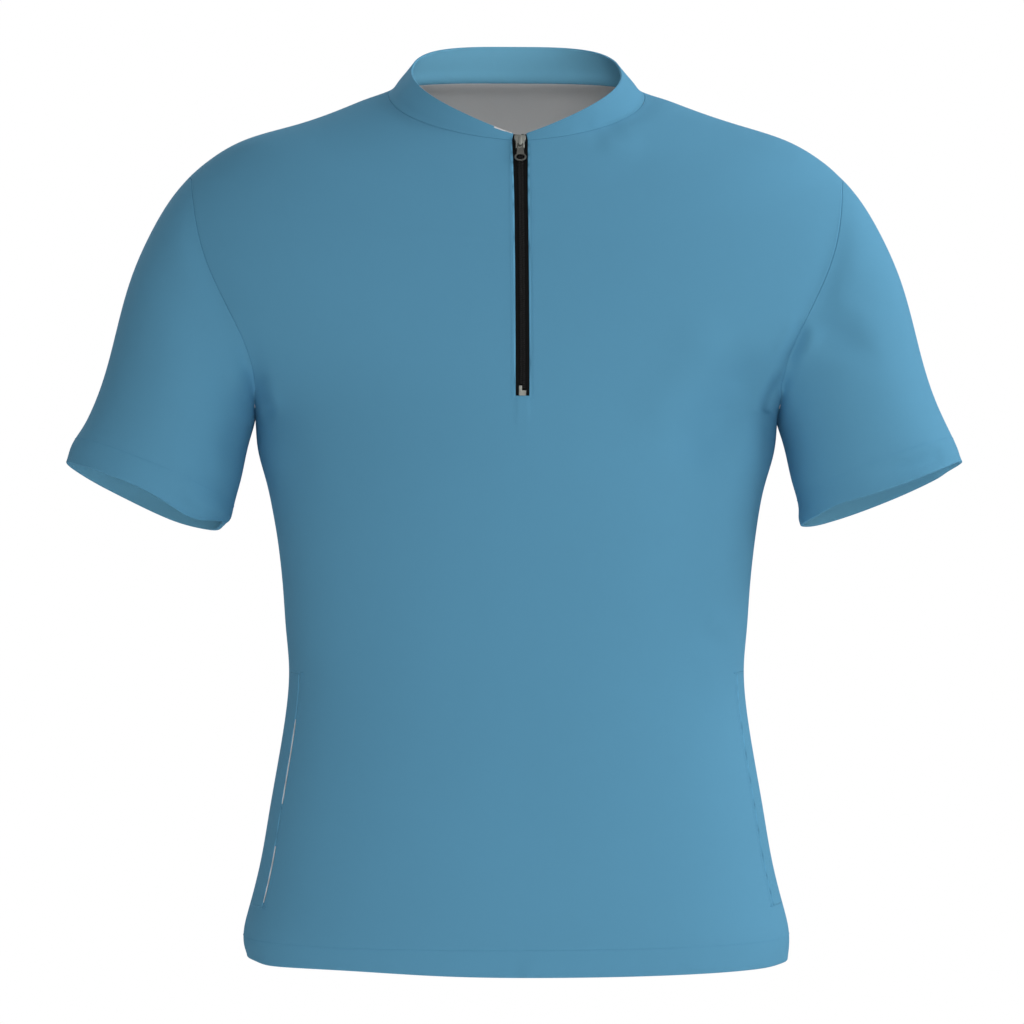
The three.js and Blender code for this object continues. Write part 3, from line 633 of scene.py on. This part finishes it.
pulls = [
    pull((-207, 0, -292), (40, 90, 27), (-5, 0, 0), (-1, 0, 0)),
    pull((206, 0, -292), (40, 90, 27), (5, 0, 0), (1, 0, 0)),
    pull((-272, 0, -336), (60, 90, 22), (-1.6, 0, -4)),
    pull((-262, -60, -340), (34, 60, 18), (-1.5, 0, -5), (0, -1, 0)),
    pull((-352, 0, -289), (22, 60, 12), (-3.5, 0, 0), (-1, 0, 0)),
    pull((-231, 0, -357), (9, 50, 8), (-5, 0, 5)),
    pull((358, 0, -304), (9, 50, 9), (-4.5, 0, 0)),
    pull((231, 0, -352), (9, 50, 9), (-3, 0, 1)),
    pull((252, -60, -338), (30, 60, 18), (0, 0, 4), (0, -1, 0)),
    pull((-262, 0, -346), (45, 90, 18), (0, 0, -3)),
    pull((-330, 0, -310), (40, 90, 20), (0, 0, -1.6)),
    pull((-239, -60, -352), (15, 60, 14), (0, 0, 5), (0, -1, 0)),
    pull((-165, 0, -32), (50, 120, 30), (0, 0, -1.8)),
    pull((-150, 0, -712), (85, 300, 30), (0, 0, 4.5)),
    pull((-216, 0, -712), (12, 60, 12), (4, 0, 3)),
    pull((212, 0, -712), (12, 60, 12), (-2, 0, 1)),
]

frontFolds = [
    # the wearer's left armpit
    fold(5, 3.8, (229, -188), (220, -209), (211, -226)),
    fold(4.5, 4.5, (219, -233), (208, -238), (201, -250), (199, -264), fade=(0.4, 0.1)),
    fold(20, 8.5, (198, -216), (168, -251), (144, -285), (120, -312)),
    fold(10, -1.8, (190, -252), (181, -280), (176, -312), fade=(0.5, 0.5)),
    fold(11, 3.5, (232, -183), (249, -198), (268, -209), (292, -216), fade=(0.3, 0.5)),
    # the wearer's right armpit
    fold(7, 4.2, (-208, -226), (-213, -248), (-224, -264)),
    fold(4, 2.9, (-208, -244), (-202, -258), (-198, -270)),
    fold(9, 2.1, (-218, -270), (-229, -288), (-240, -300)),
    fold(12, 1.6, (-196, -262), (-180, -300), (-172, -330)),
    # the cuffs
    fold(8, -2.8, (-288, -312), (-263, -321), (-243, -333), (-231, -343), fade=(0.5, 0.1)),
    fold(5, 2.2, (-278, -330), (-251, -341), (-233, -348), fade=(0.4, 0.1)),
    fold(6, 2.8, (280, -319), (315, -308), (347, -294), fade=(0.5, 0.2)),
    fold(9, -1.4, (232, -336), (252, -338), (276, -330), fade=(0.2, 0.6)),
    # below the collar, and at the waist
    fold(8, 1.6, (40, -34), (62, -37), (86, -30), fade=(0.5, 0.3)),
    fold(10, -1.4, (60, -50), (84, -48), (100, -40)),
    fold(9, 1.3, (134, -430), (151, -446), (172, -456)),
    fold(8, -0.9, (150, -424), (168, -438)),
]

backFolds = [
    fold(10, 2.6, (-226, -196), (-212, -232), (-196, -262), (-176, -292)),
    fold(12, 2.0, (-226, -196), (-256, -206), (-286, -210)),
    fold(9, 2.8, (224, -204), (210, -240), (192, -276)),
    fold(15, 1.8, (196, -262), (164, -294), (126, -318)),
    fold(11, 1.6, (228, -206), (252, -222), (270, -246)),
    fold(16, 1.2, (-150, -470), (-96, -486), (-40, -484)),
    fold(14, 1.4, (160, -440), (112, -464), (60, -470)),
    fold(12, 1.0, (60, -40), (0, -52), (-70, -44)),
    fold(8, -1.6, (-285, -318), (-262, -324), (-242, -334)),
    fold(7, 1.3, (250, -334), (284, -322), (318, -308)),
]

# How far a place has to be turned towards a pull's or a fold's side, as cosines.
turned = {"pullFrom": -0.2, "pullOver": 0.7, "foldFrom": -0.15, "foldOver": 0.4}
sideRidge = {"height": 0.35, "away": 2.1}  # in depths and widths of its fold

# The zip's end shows through the front as a low ridge. Its edges are soft over the last three numbers.
zipRidge = {
    "halfWidth": 5.2,
    "top": -250,
    "foot": -284,
    "height": 0.5,
    "softSide": 3,
    "softTop": 4,
    "softFoot": 22,
}


def pulled(places, normals):
    moved = places.copy()
    for each in pulls:
        away = (places / mm - each["at"]) / each["reach"]
        weight = np.exp(-(away**2).sum(1))
        if each["facing"]:
            weight *= smoothed((normals @ np.array(each["facing"]) - turned["pullFrom"]) / turned["pullOver"])
        moved += weight[:, None] * np.array(each["move"]) * mm
    return moved


def overZipEnd(places, normals):
    ridge = zipRidge
    aside = abs(places[:, 0]) / mm
    height = places[:, 2] / mm
    across = smoothed((ridge["halfWidth"] - aside) / ridge["softSide"] + 0.5)
    below = smoothed((ridge["top"] - height) / ridge["softTop"] + 1)
    above = smoothed((height - ridge["foot"]) / ridge["softFoot"])
    return ridge["height"] * mm * across * below * above * (normals[:, 1] < -0.5)


# Distance of each place from a path, and the share of the way along it.
def alongPath(places, path):
    path = np.array(path, float) * mm
    lengths = np.linalg.norm(np.diff(path, axis=0), axis=1)
    starts = np.concatenate([[0], np.cumsum(lengths)])
    nearest = np.full(len(places), np.inf)
    share = np.zeros(len(places))
    for start, end, length, before in zip(path, path[1:], lengths, starts):
        along = np.clip((places - start) @ (end - start) / length**2, 0, 1)
        away = np.linalg.norm(places - start - np.outer(along, end - start), axis=1)
        closer = away < nearest
        nearest[closer] = away[closer]
        share[closer] = (before + along[closer] * length) / starts[-1]
    return nearest, share


def foldShift(places, normals, folds, side):
    facing = smoothed((side * normals[:, 1] - turned["foldFrom"]) / turned["foldOver"])
    shift = np.zeros(len(places))
    for each in folds:
        away, share = alongPath(places[:, [0, 2]], each["path"])
        width = each["width"] * mm
        fadeIn, fadeOut = each["fade"]
        ends = smoothed(share / fadeIn) * smoothed((1 - share) / fadeOut)
        trough = np.exp(-((away / width) ** 2))
        ridge = sideRidge["height"] * np.exp(-((away / width - sideRidge["away"]) ** 2))
        shift += each["depth"] * mm * (ridge - trough) * ends
    return shift * facing


def folded(mesh):
    places, normals = points(mesh), points(mesh, "normal")
    moved = pulled(places, normals)
    moved[:, 1] -= foldShift(places, normals, frontFolds, -1) + overZipEnd(places, normals)
    moved[:, 1] += foldShift(places, normals, backFolds, 1)
    mesh.vertices.foreach_set("co", moved.ravel())
    mesh.update()
    return mesh


# The kinds of edge of the panels cut from the surface, with each one's gap and rounding
seams = {"open": 1, "seam": 2, "mouth": 4, "joined": 8}
edges = {
    "open": {"gap": 0, "round": 0.8 * mm},
    "zip": {"gap": -0.45 * mm, "round": 0.5 * mm},
    "seam": {"gap": 0.04 * mm, "round": 0.35 * mm},
    "mouth": {"gap": 0.2 * mm, "round": 0.6 * mm},
    "joined": {"gap": 0, "round": 0},
}
ringWidth = 1.4 * mm  # of the row of faces that keeps an edge's rounding tight
roundShare, ringShare = 0.35, 0.6  # of the room beside an edge, at most, for its rounding and that row
rimProfile = {0.25: (0.12, 0.76), 0.5: (0.5, 1), 0.75: (0.88, 0.76)}  # depth and bulge, by share of the wall


def placeKey(place):
    return tuple(round(value, 6) for value in place)


# What kind of edge the pieces share there: the pockets' mouths stay open, and the other edges of their
# facings run on into the front.
def edgeKind(edge):
    if edge.is_boundary:
        return "open"
    first, second = sorted(order[face.material_index] for face in edge.link_faces)
    if first == second:
        return None
    if first == "front_panel" and second.startswith("pocket_facing"):
        step = edge.verts[0].co - edge.verts[1].co
        return "mouth" if abs(step.z) > abs(step.x) + abs(step.y) else "joined"
    return "seam"


# Cuts extra rows of faces where the turned-up cloth of the hem and the cuffs ends.
def hemCuts(bm):
    hemFoot = min(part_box(name)[0].z for name in ("front_panel", "back_panel"))
    ends = {"hem": (Vector((0, 0, hemFoot)), Vector((0, 0, 1)), ("front_panel", "back_panel"))}
    for side in ("sleeve_left", "sleeve_right"):
        index = order.index(side)
        rim = [v for v in bm.verts if v.is_boundary and v.link_faces[0].material_index == index]
        rim = np.array([v.co for v in rim])
        centre = rim.mean(0)
        normal = Vector(np.linalg.svd(rim - centre)[2][2])
        ends[side] = (Vector(centre), normal * math.copysign(1, normal.z), (side,))
    for place, normal, names in ends.values():
        for rise in (cloth["hemDepth"], cloth["hemDepth"] + cloth["hemStep"]):
            faces = [face for face in bm.faces if order[face.material_index] in names]
            geom = list(dict.fromkeys(item for face in faces for item in (face, *face.edges, *face.verts)))
            level = place + normal * rise
            bmesh.ops.bisect_plane(bm, geom=geom, dist=tiny, plane_co=level, plane_no=normal)
    return ends


def inHem(place, name):
    for centre, normal, names in hemEnds.values():
        if name in names and (place - centre).dot(normal) < cloth["hemDepth"] + cloth["hemStep"] / 4:
            return True
    return False


def intoPiece(edge, face):
    step = face.calc_center_median() - (edge.verts[0].co + edge.verts[1].co) / 2
    along = (edge.verts[0].co - edge.verts[1].co).normalized()
    return (step - along * step.dot(along)).normalized()


# The way out of a crease between two faces, longer for a deeper one. Where its sides nearly touch, their
# normals cancel out and only this is left.
def outOfCrease(edge):
    first, second = edge.link_faces
    step = second.calc_center_median() - first.calc_center_median()
    depth = max(0, step.normalized().dot(first.normal - second.normal))
    return (intoPiece(edge, first) + intoPiece(edge, second)) * depth


# The way outwards and the kinds of edge at each point of a seam, found by place.
def seamMarks(bm):
    marks = {}
    for edge in bm.edges:
        kind = edgeKind(edge)
        if kind:
            out = outOfCrease(edge) if kind == "seam" else Vector()
            for vert in edge.verts:
                known = marks.setdefault(placeKey(vert.co), [vert.normal.copy(), 0])
                known[0] += out
                known[1] |= seams[kind]
    for known in marks.values():
        known[0].normalize()
    return marks


# A pocket's mouth stands a little open. On the wearer's right it gapes in two places, each given by the
# heights of its ends in millimetres.
mouths = {
    "left": 0.3 * mm,
    "right": 0.25 * mm,
    "gape": 0.75 * mm,
    "gapes": ((-506, -584), (-606, -664)),
    "fade": 12,
    "pale": 0.5 * mm,  # where the inside shows, on rim faces that look inwards by this cosine
    "inward": 0.2,
}


def mouthGap(place):
    if place.x > 0:
        return mouths["left"]
    height, fade = place.z / mm, mouths["fade"]
    share = 0
    for top, foot in mouths["gapes"]:
        share = max(share, smoothed((top - height) / fade) * smoothed((height - foot) / fade))
    return mouths["right"] + mouths["gape"] * float(share)


# The kind of a piece's rim edge, from its ends.
def kindBetween(a, b):
    shared = marks[placeKey(a)][1] & marks[placeKey(b)][1]
    found = next((name for name in ("mouth", "joined", "seam") if shared & seams[name]), "open")
    step, foot, margin = b - a, cloth["zipFoot"], cloth["zipMargin"]
    inColumn = max(abs(a.x), abs(b.x)) < cloth["zipColumn"] and min(a.z, b.z) > foot - margin
    onSlit = abs(step.z) > abs(step.x) or max(a.z, b.z) < foot + margin
    return "zip" if found == "open" and inColumn and onSlit else found


# The move that takes a rim point in from both its edges by their own distances. Where these run straight on
# or fold right back, it is their mean.
straightOn, rightBack = 0.95, -0.8


def rimStep(first, second, firstWay, secondWay):
    alike = first.dot(second)
    if alike > straightOn or alike < rightBack:
        return (first + second).normalized() * (firstWay + secondWay) / 2
    share = 1 / (1 - alike * alike)
    return first * share * (firstWay - alike * secondWay) + second * share * (secondWay - alike * firstWay)


# A piece with a narrow row of faces along its rim, which is pulled back by its seam's gap and its rounding.
# Layers keep the way outwards at each point, and how far the rim's wall bulges from there.
def cutPiece(name):
    index = order.index(name)
    bm = fromMesh(surface)
    bmesh.ops.delete(bm, geom=[face for face in bm.faces if face.material_index != index], context="FACES")
    outward = bm.verts.layers.float_vector.new("outward")
    bulge = bm.verts.layers.float_vector.new("bulge")
    bm.normal_update()
    plans = {}
    for vert in bm.verts:
        vert[outward] = vert.normal
        if not vert.is_boundary:
            continue
        vert[outward] = marks[placeKey(vert.co)][0]
        rims = [edge for edge in vert.link_edges if edge.is_boundary][:2]
        inner = [edge for edge in vert.link_edges if not edge.is_boundary] or rims
        room = min(edge.calc_length() for edge in inner)
        ways = [intoPiece(edge, edge.link_faces[0]) for edge in rims]
        looks = [edges[kindBetween(*(end.co for end in edge.verts))] for edge in rims]
        gaps = [mouthGap(vert.co) if look is edges["mouth"] else look["gap"] for look in looks]
        rounds = [min(look["round"], roundShare * room) for look in looks]
        back = rimStep(*ways, *(gap + extra for gap, extra in zip(gaps, rounds)))
        ring = rimStep(*ways, *(gap + min(ringWidth, ringShare * room) for gap in gaps))
        plans[placeKey(vert.co)] = (back, ring, rimStep(*ways, *gaps) - back)
    bmesh.ops.inset_region(bm, faces=bm.faces, thickness=tiny, use_boundary=True, use_even_offset=True)
    for vert in [vert for vert in bm.verts if vert.is_boundary]:
        back, ring, vert[bulge] = plans[placeKey(vert.co)]
        start = vert.co.copy()
        for edge in vert.link_edges:
            if not edge.is_boundary:
                edge.other_vert(vert).co = start + ring
        vert.co = start + back
    return bm, outward, bulge


# Gives a sheet its thickness inwards, with rounded walls along its rim. inner says which material a face
# gets inside.
def thicken(bm, outward, bulge, depthAt, inner):
    share = bm.verts.layers.float.new("share")
    through = bm.verts.layers.float_vector.new("through")
    for vert in bm.verts:
        vert[through] = -vert[outward] * depthAt(vert.co)
    made = bmesh.ops.extrude_face_region(bm, geom=bm.faces[:], use_keep_orig=True)["geom"]
    added = {item for item in made if isinstance(item, bmesh.types.BMVert)}
    for vert in added:
        vert.co += vert[through]
        vert[share] = 1
    for face in made:
        if isinstance(face, bmesh.types.BMFace):
            face.material_index = inner(face.calc_center_median())
    across = [edge for edge in bm.edges if (edge.verts[0] in added) != (edge.verts[1] in added)]
    cut = bmesh.ops.subdivide_edges(bm, edges=across, cuts=len(rimProfile))["geom_inner"]
    for vert in cut:
        if isinstance(vert, bmesh.types.BMVert):
            depth, out = rimProfile[round(vert[share], 2)]
            vert.co += vert[through] * (depth - vert[share]) + vert[bulge] * out
    bmesh.ops.recalc_face_normals(bm, faces=bm.faces)


# Where the mouth on the wearer's right gapes, the pale inside of its facing shows along the edge.
def paleMouth(bm):
    share = bm.verts.layers.float["share"]
    for face in bm.faces:
        onRim = any(0 < vert[share] < 1 for vert in face.verts)
        gap = mouthGap(face.calc_center_median())
        if onRim and face.normal.x > mouths["inward"] and gap > mouths["pale"]:
            face.material_index = 1


# On the wearer's right of the zip the collar's edge has rolled out, and a sliver of its pale inside shows.
rolledEdge = {"from": -20.5 * mm, "to": -6.2 * mm, "wide": 1.6 * mm, "narrow": 0.8 * mm, "column": 0.8 * mm}


def paleEdge(bm):
    start, end, column = rolledEdge["from"], rolledEdge["to"], rolledEdge["column"]
    front = [vert.co for vert in bm.verts if vert.co.y < 0 and start - column < vert.co.x < end + column]
    for face in bm.faces:
        centre = face.calc_center_median()
        along = (centre.x - start) / (end - start)
        if centre.y < 0 and 0 < along < 1:
            top = max(place.z for place in front if abs(place.x - centre.x) < column)
            if top - centre.z < rolledEdge["wide"] * (1 - along) + rolledEdge["narrow"] * along:
                face.material_index = 1


# A piece's name, from its CAD node's.
def titleOf(name):
    first, *others = name.split("_")
    return first + ("".join(word.capitalize() for word in others) or "Band")


# A finished piece of a bmesh, with what it rides on and the CAD node that it stands for.
def addPiece(title, bm, finishes, slot, node=None, body="jacket"):
    for face in bm.faces:
        face.smooth = True
    piece = meshObject(title, bm)
    for finish in finishes:
        piece.data.materials.append(finish)
    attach(piece, body)
    if node:
        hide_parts(node)
    triangles = sum(len(face.vertices) - 2 for face in piece.data.polygons)
    print(f"{title}: {triangles} triangles")
    return piece


def makePanel(name):
    bm, outward, bulge = cutPiece(name)
    for face in bm.faces:
        face.material_index = 0

    def depthAt(place):
        return cloth["hemWall"] if inHem(place, name) else cloth["wall"]

    def inner(place):
        # Where it is turned in, the face cloth gets its lighter copy: painted light on the insides.
        return 2 if name == "collar" or inHem(place, name) else 1  # the face cloth where it is turned in

    thicken(bm, outward, bulge, depthAt, inner)
    if name == "pocket_facing_right":
        paleMouth(bm)
    if name == "collar":
        paleEdge(bm)
    cloths = [materials[title] for title in ("faceCloth", "wrongSide", "facingClothPaintedLight")]
    panel = addPiece(titleOf(name), bm, cloths, "jacket_cloth", node=name)


# The zip's tapes and the pockets' linings
strips = {
    "zip_tape_left": {"outward": (0, -1, 0), "flat": (0.0128, 0.232), "area": 0.00295},
    "zip_tape_right": {"outward": (0, -1, 0), "flat": (0.0128, 0.232), "area": 0.00295},
    "pocket_lining_left": {"outward": (0.8, -0.6, 0), "flat": (0.03, 0.195), "area": 0.0034},
    "pocket_lining_right": {"outward": (-0.8, -0.6, 0), "flat": (0.03, 0.195), "area": 0.0036},
}
stripWall = {"zip_tape": 0.6 * mm, "pocket_lining": 0.7 * mm}
stripRound = 0.12 * mm


# A flat strip of cloth with rounded edges.
def makeStrip(name):
    look = strips[name]
    slot = name.rsplit("_", 1)[0]
    flat = layFlat(outerSheet(name, look["outward"], atSeams=False), name, (0, 0, 1))
    bm = fromMesh(subdivided(flat, 2))
    bm.normal_update()
    outward = bm.verts.layers.float_vector.new("outward")
    bulge = bm.verts.layers.float_vector.new("bulge")
    for vert in bm.verts:
        vert[outward] = vert.normal
        for edge in vert.link_edges:
            if edge.is_boundary:
                vert[bulge] = Vector(vert[bulge]) - intoPiece(edge, edge.link_faces[0]) * stripRound
    thicken(bm, outward, bulge, lambda place: stripWall[slot], lambda place: 0)
    material = materials["tapeCloth" if slot == "zip_tape" else "liningMesh"]
    strip = addPiece(titleOf(name), bm, [material], slot, node=name)


barSides = 6


# Adds a round bar: each ring is its distance along the bar, its radius and its rise from the place, in mm.
def addBar(bm, rings, place, side, out, along):
    turns = [math.tau * step / barSides for step in range(barSides)]
    ways = [side * math.cos(turn) + out * math.sin(turn) for turn in turns]
    loops = []
    for reach, radius, rise in rings:
        centre = place + (along * reach + out * rise) * mm
        loops.append([bm.verts.new(centre + way * radius * mm) for way in ways])
    for first, second in zip(loops, loops[1:]):
        for step in range(barSides):
            bm.faces.new((first[step], first[step - 1], second[step - 1], second[step]))
    bm.faces.new(loops[0])
    bm.faces.new(reversed(loops[-1]))


backward = Vector((0, 1, 0))  # the way of every ray at the front
rayStart = -0.3  # on that axis, clear of the garment
rayReach = 0.5

teeth = {
    "pitch": 1.5 * mm,
    "rings": ((-0.3, 0.3, -0.95), (0.1, 0.55, -0.7), (1.5, 0.55, -0.65), (2.3, 0.35, -1.1)),
    "innerSide": 2 * mm,  # points of the node nearer than this to the middle are on its inner side
    "rayInset": 1.1 * mm,  # from there to where a tooth's place on the face is looked for
}


# A row of coil teeth down its CAD node's face. The two rows are half a tooth apart.
def makeTeeth(name, side, phase):
    face = nodeTree(name)
    inner = [vert.co for vert in nodes[name].data.vertices if abs(vert.co.x) < teeth["innerSide"]]
    levels, starts = np.array(sorted((place.z, abs(place.x)) for place in inner)).T
    lowest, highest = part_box(name)
    height = highest.z - teeth["pitch"] * (0.5 + phase)
    across = Vector((side, 0, 0))
    bm = bmesh.new()
    while height > lowest.z + teeth["pitch"] / 2:
        start = side * np.interp(height, levels, starts)
        place, out = face.ray_cast(Vector((start + side * teeth["rayInset"], rayStart, height)), backward)[:2]
        if place is None:
            height -= teeth["pitch"]
            continue
        place.x = start
        addBar(bm, teeth["rings"], place, out.cross(across), out, across)
        height -= teeth["pitch"] * abs(out.y)
    bmesh.ops.recalc_face_normals(bm, faces=bm.faces)
    addPiece(titleOf(name), bm, [materials["coil"]], "zip_teeth", node=name)


metals = {
    "zip_slider": {"body": "jacket", "slot": "zip_metal", "material": "silver", "round": 0.25 * mm},
    "zip_pull": {"body": "pull_tab", "slot": "pull_metal", "material": "gunmetal", "round": 0.18 * mm},
    "zip_bottom_stop": {"body": "jacket", "slot": "zip_metal", "material": "silver", "round": 0.3 * mm},
}
flatBend = math.radians(1.5)  # faces that meet at less than this are one
roundBend = math.radians(35)  # edges that turn more than this are rounded
shadeBend = math.radians(34)


# A metal part with its edges rounded.
def makeMetal(name):
    look = metals[name]
    bm = fromMesh(nodes[name].data)
    bmesh.ops.remove_doubles(bm, verts=bm.verts, dist=0.002 * mm)
    bmesh.ops.dissolve_limit(bm, angle_limit=flatBend, verts=bm.verts, edges=bm.edges)
    sharp = [edge for edge in bm.edges if edge.is_manifold and edge.calc_face_angle() > roundBend]
    bmesh.ops.bevel(
        bm,
        geom=sharp,
        offset=look["round"],
        affect="EDGES",
        segments=2,
        profile=0.5,
        material=-1,
        clamp_overlap=True,
    )
    part = addPiece(titleOf(name), bm, [materials[look["material"]]], look["slot"], name, look["body"])
    part.data.set_sharp_from_angle(angle=shadeBend)


# The rings of a stitch and of the tack at a line's end, then where the lines run.
stitch = {
    "rings": ((-1.15, 0.06, -0.05), (-0.8, 0.19, 0.08), (0.8, 0.19, 0.08), (1.15, 0.06, -0.05)),
    "tack": ((-2.6, 0.2, 0), (-2.2, 0.55, 0.15), (2.2, 0.55, 0.15), (2.6, 0.2, 0)),
    "pitch": 3.1 * mm,
    "hemRise": 22 * mm,
    "hemReach": 0.4,
    "cuffReach": 0.09,
    "hemRays": 400,
    "fromZip": 2.4 * mm,
    "zipHalf": 6.1 * mm,  # of the zip's opening
    "zipTop": -44 * mm,
    "tapeTail": 8 * mm,  # of the tapes below the opening
    "fromMouth": 2.2 * mm,
}


# Where rays meet the surface, each with the way out of it.
def metPoints(rays, reach, inside):
    found = []
    for start, way in rays:
        place, normal = skin.ray_cast(start, way, reach)[:2]
        if place is not None:
            found.append((place, normal if (normal.dot(way) > 0) == inside else -normal))
    return found


# Round a hem or a cuff, a little under the turned-in cloth's edge.
def hemLine(key):
    centre, normal, names = hemEnds[key]
    start = centre + normal * stitch["hemRise"]
    first = normal.orthogonal().normalized()
    second = normal.cross(first)
    turns = np.linspace(0, math.tau, stitch["hemRays"] + 1)
    rays = [(start, first * math.cos(turn) + second * math.sin(turn)) for turn in turns]
    return metPoints(rays, stitch["hemReach"] if key == "hem" else stitch["cuffReach"], True)


# The surface's front at places given as across and up.
def frontPoints(places):
    return metPoints([(Vector((x, rayStart, z)), backward) for x, z in places], rayReach, False)


# Down one side of the zip, across under it and up the other.
def zipLine():
    half = stitch["zipHalf"] + stitch["fromZip"]
    foot = cloth["zipFoot"] + stitch["tapeTail"] - stitch["fromZip"]
    down = [(half, height) for height in np.linspace(stitch["zipTop"], foot, 90)]
    across = [(share * half, foot) for share in np.linspace(0.9, -0.9, 9)]
    up = [(-x, height) for x, height in reversed(down)]
    return frontPoints(down + across + up)


# Beside a pocket's mouth, on the front.
def mouthLine(side):
    mouth = [place for place, (out, kinds) in marks.items() if kinds & seams["mouth"] and place[0] * side > 0]
    mouth.sort(key=lambda place: place[2])
    return frontPoints([(x - side * stitch["fromMouth"], z) for x, y, z in mouth])


def addStitches(bm, line):
    places, outs = (np.array(values) for values in zip(*line))
    steps = np.linalg.norm(np.diff(places, axis=0), axis=1)
    run = np.concatenate([[0], np.cumsum(steps)])

    def at(values, distance):
        return Vector([np.interp(distance, run, values[:, axis]) for axis in range(3)])

    for number in range(int(run[-1] / stitch["pitch"])):
        middle = (number + 0.5) * stitch["pitch"]
        out = at(outs, middle).normalized()
        along = (at(places, middle + 1 * mm) - at(places, middle - 1 * mm)).normalized()
        addBar(bm, stitch["rings"], at(places, middle), out.cross(along), out, along)


def makeStitches():
    lines = {
        "hemStitches": [hemLine("hem")],
        "cuffStitches": [hemLine("sleeve_left"), hemLine("sleeve_right")],
        "zipStitches": [zipLine()],
        "pocketStitches": [mouthLine(1), mouthLine(-1)],
    }
    up = Vector((0, 0, 1))
    for title, paths in lines.items():
        bm = bmesh.new()
        for path in paths:
            addStitches(bm, path)
            if title == "pocketStitches":
                for place, out in (path[0], path[-1]):
                    addBar(bm, stitch["tack"], place, up, out, out.cross(up).normalized())
        bmesh.ops.recalc_face_normals(bm, faces=bm.faces)
        addPiece(title, bm, [materials["thread"]], "jacket_cloth")


makeStudio()
print("studio")
groups = {"knit": knitGroup(), "weave": weaveGroup(), "wear": wearGroup()}
materials = {name: groupMaterial(name, *look) for name, look in materialLooks.items()}
print(f"{len(materials)} materials")

surface = folded(wholeSurface())
bm = fromMesh(surface)
hemEnds = hemCuts(bm)
bm.normal_update()
marks = seamMarks(bm)
bm.to_mesh(surface)
bm.free()
places = [vert.co for vert in surface.vertices]
skin = BVHTree.FromPolygons(places, [face.vertices for face in surface.polygons])
print(f"whole surface: {len(surface.polygons)} faces")

for name in clothPieces:
    makePanel(name)
for name in strips:
    makeStrip(name)
makeTeeth("zip_teeth_left", 1, 0)
makeTeeth("zip_teeth_right", -1, 0.5)
for name in metals:
    makeMetal(name)
makeStitches()
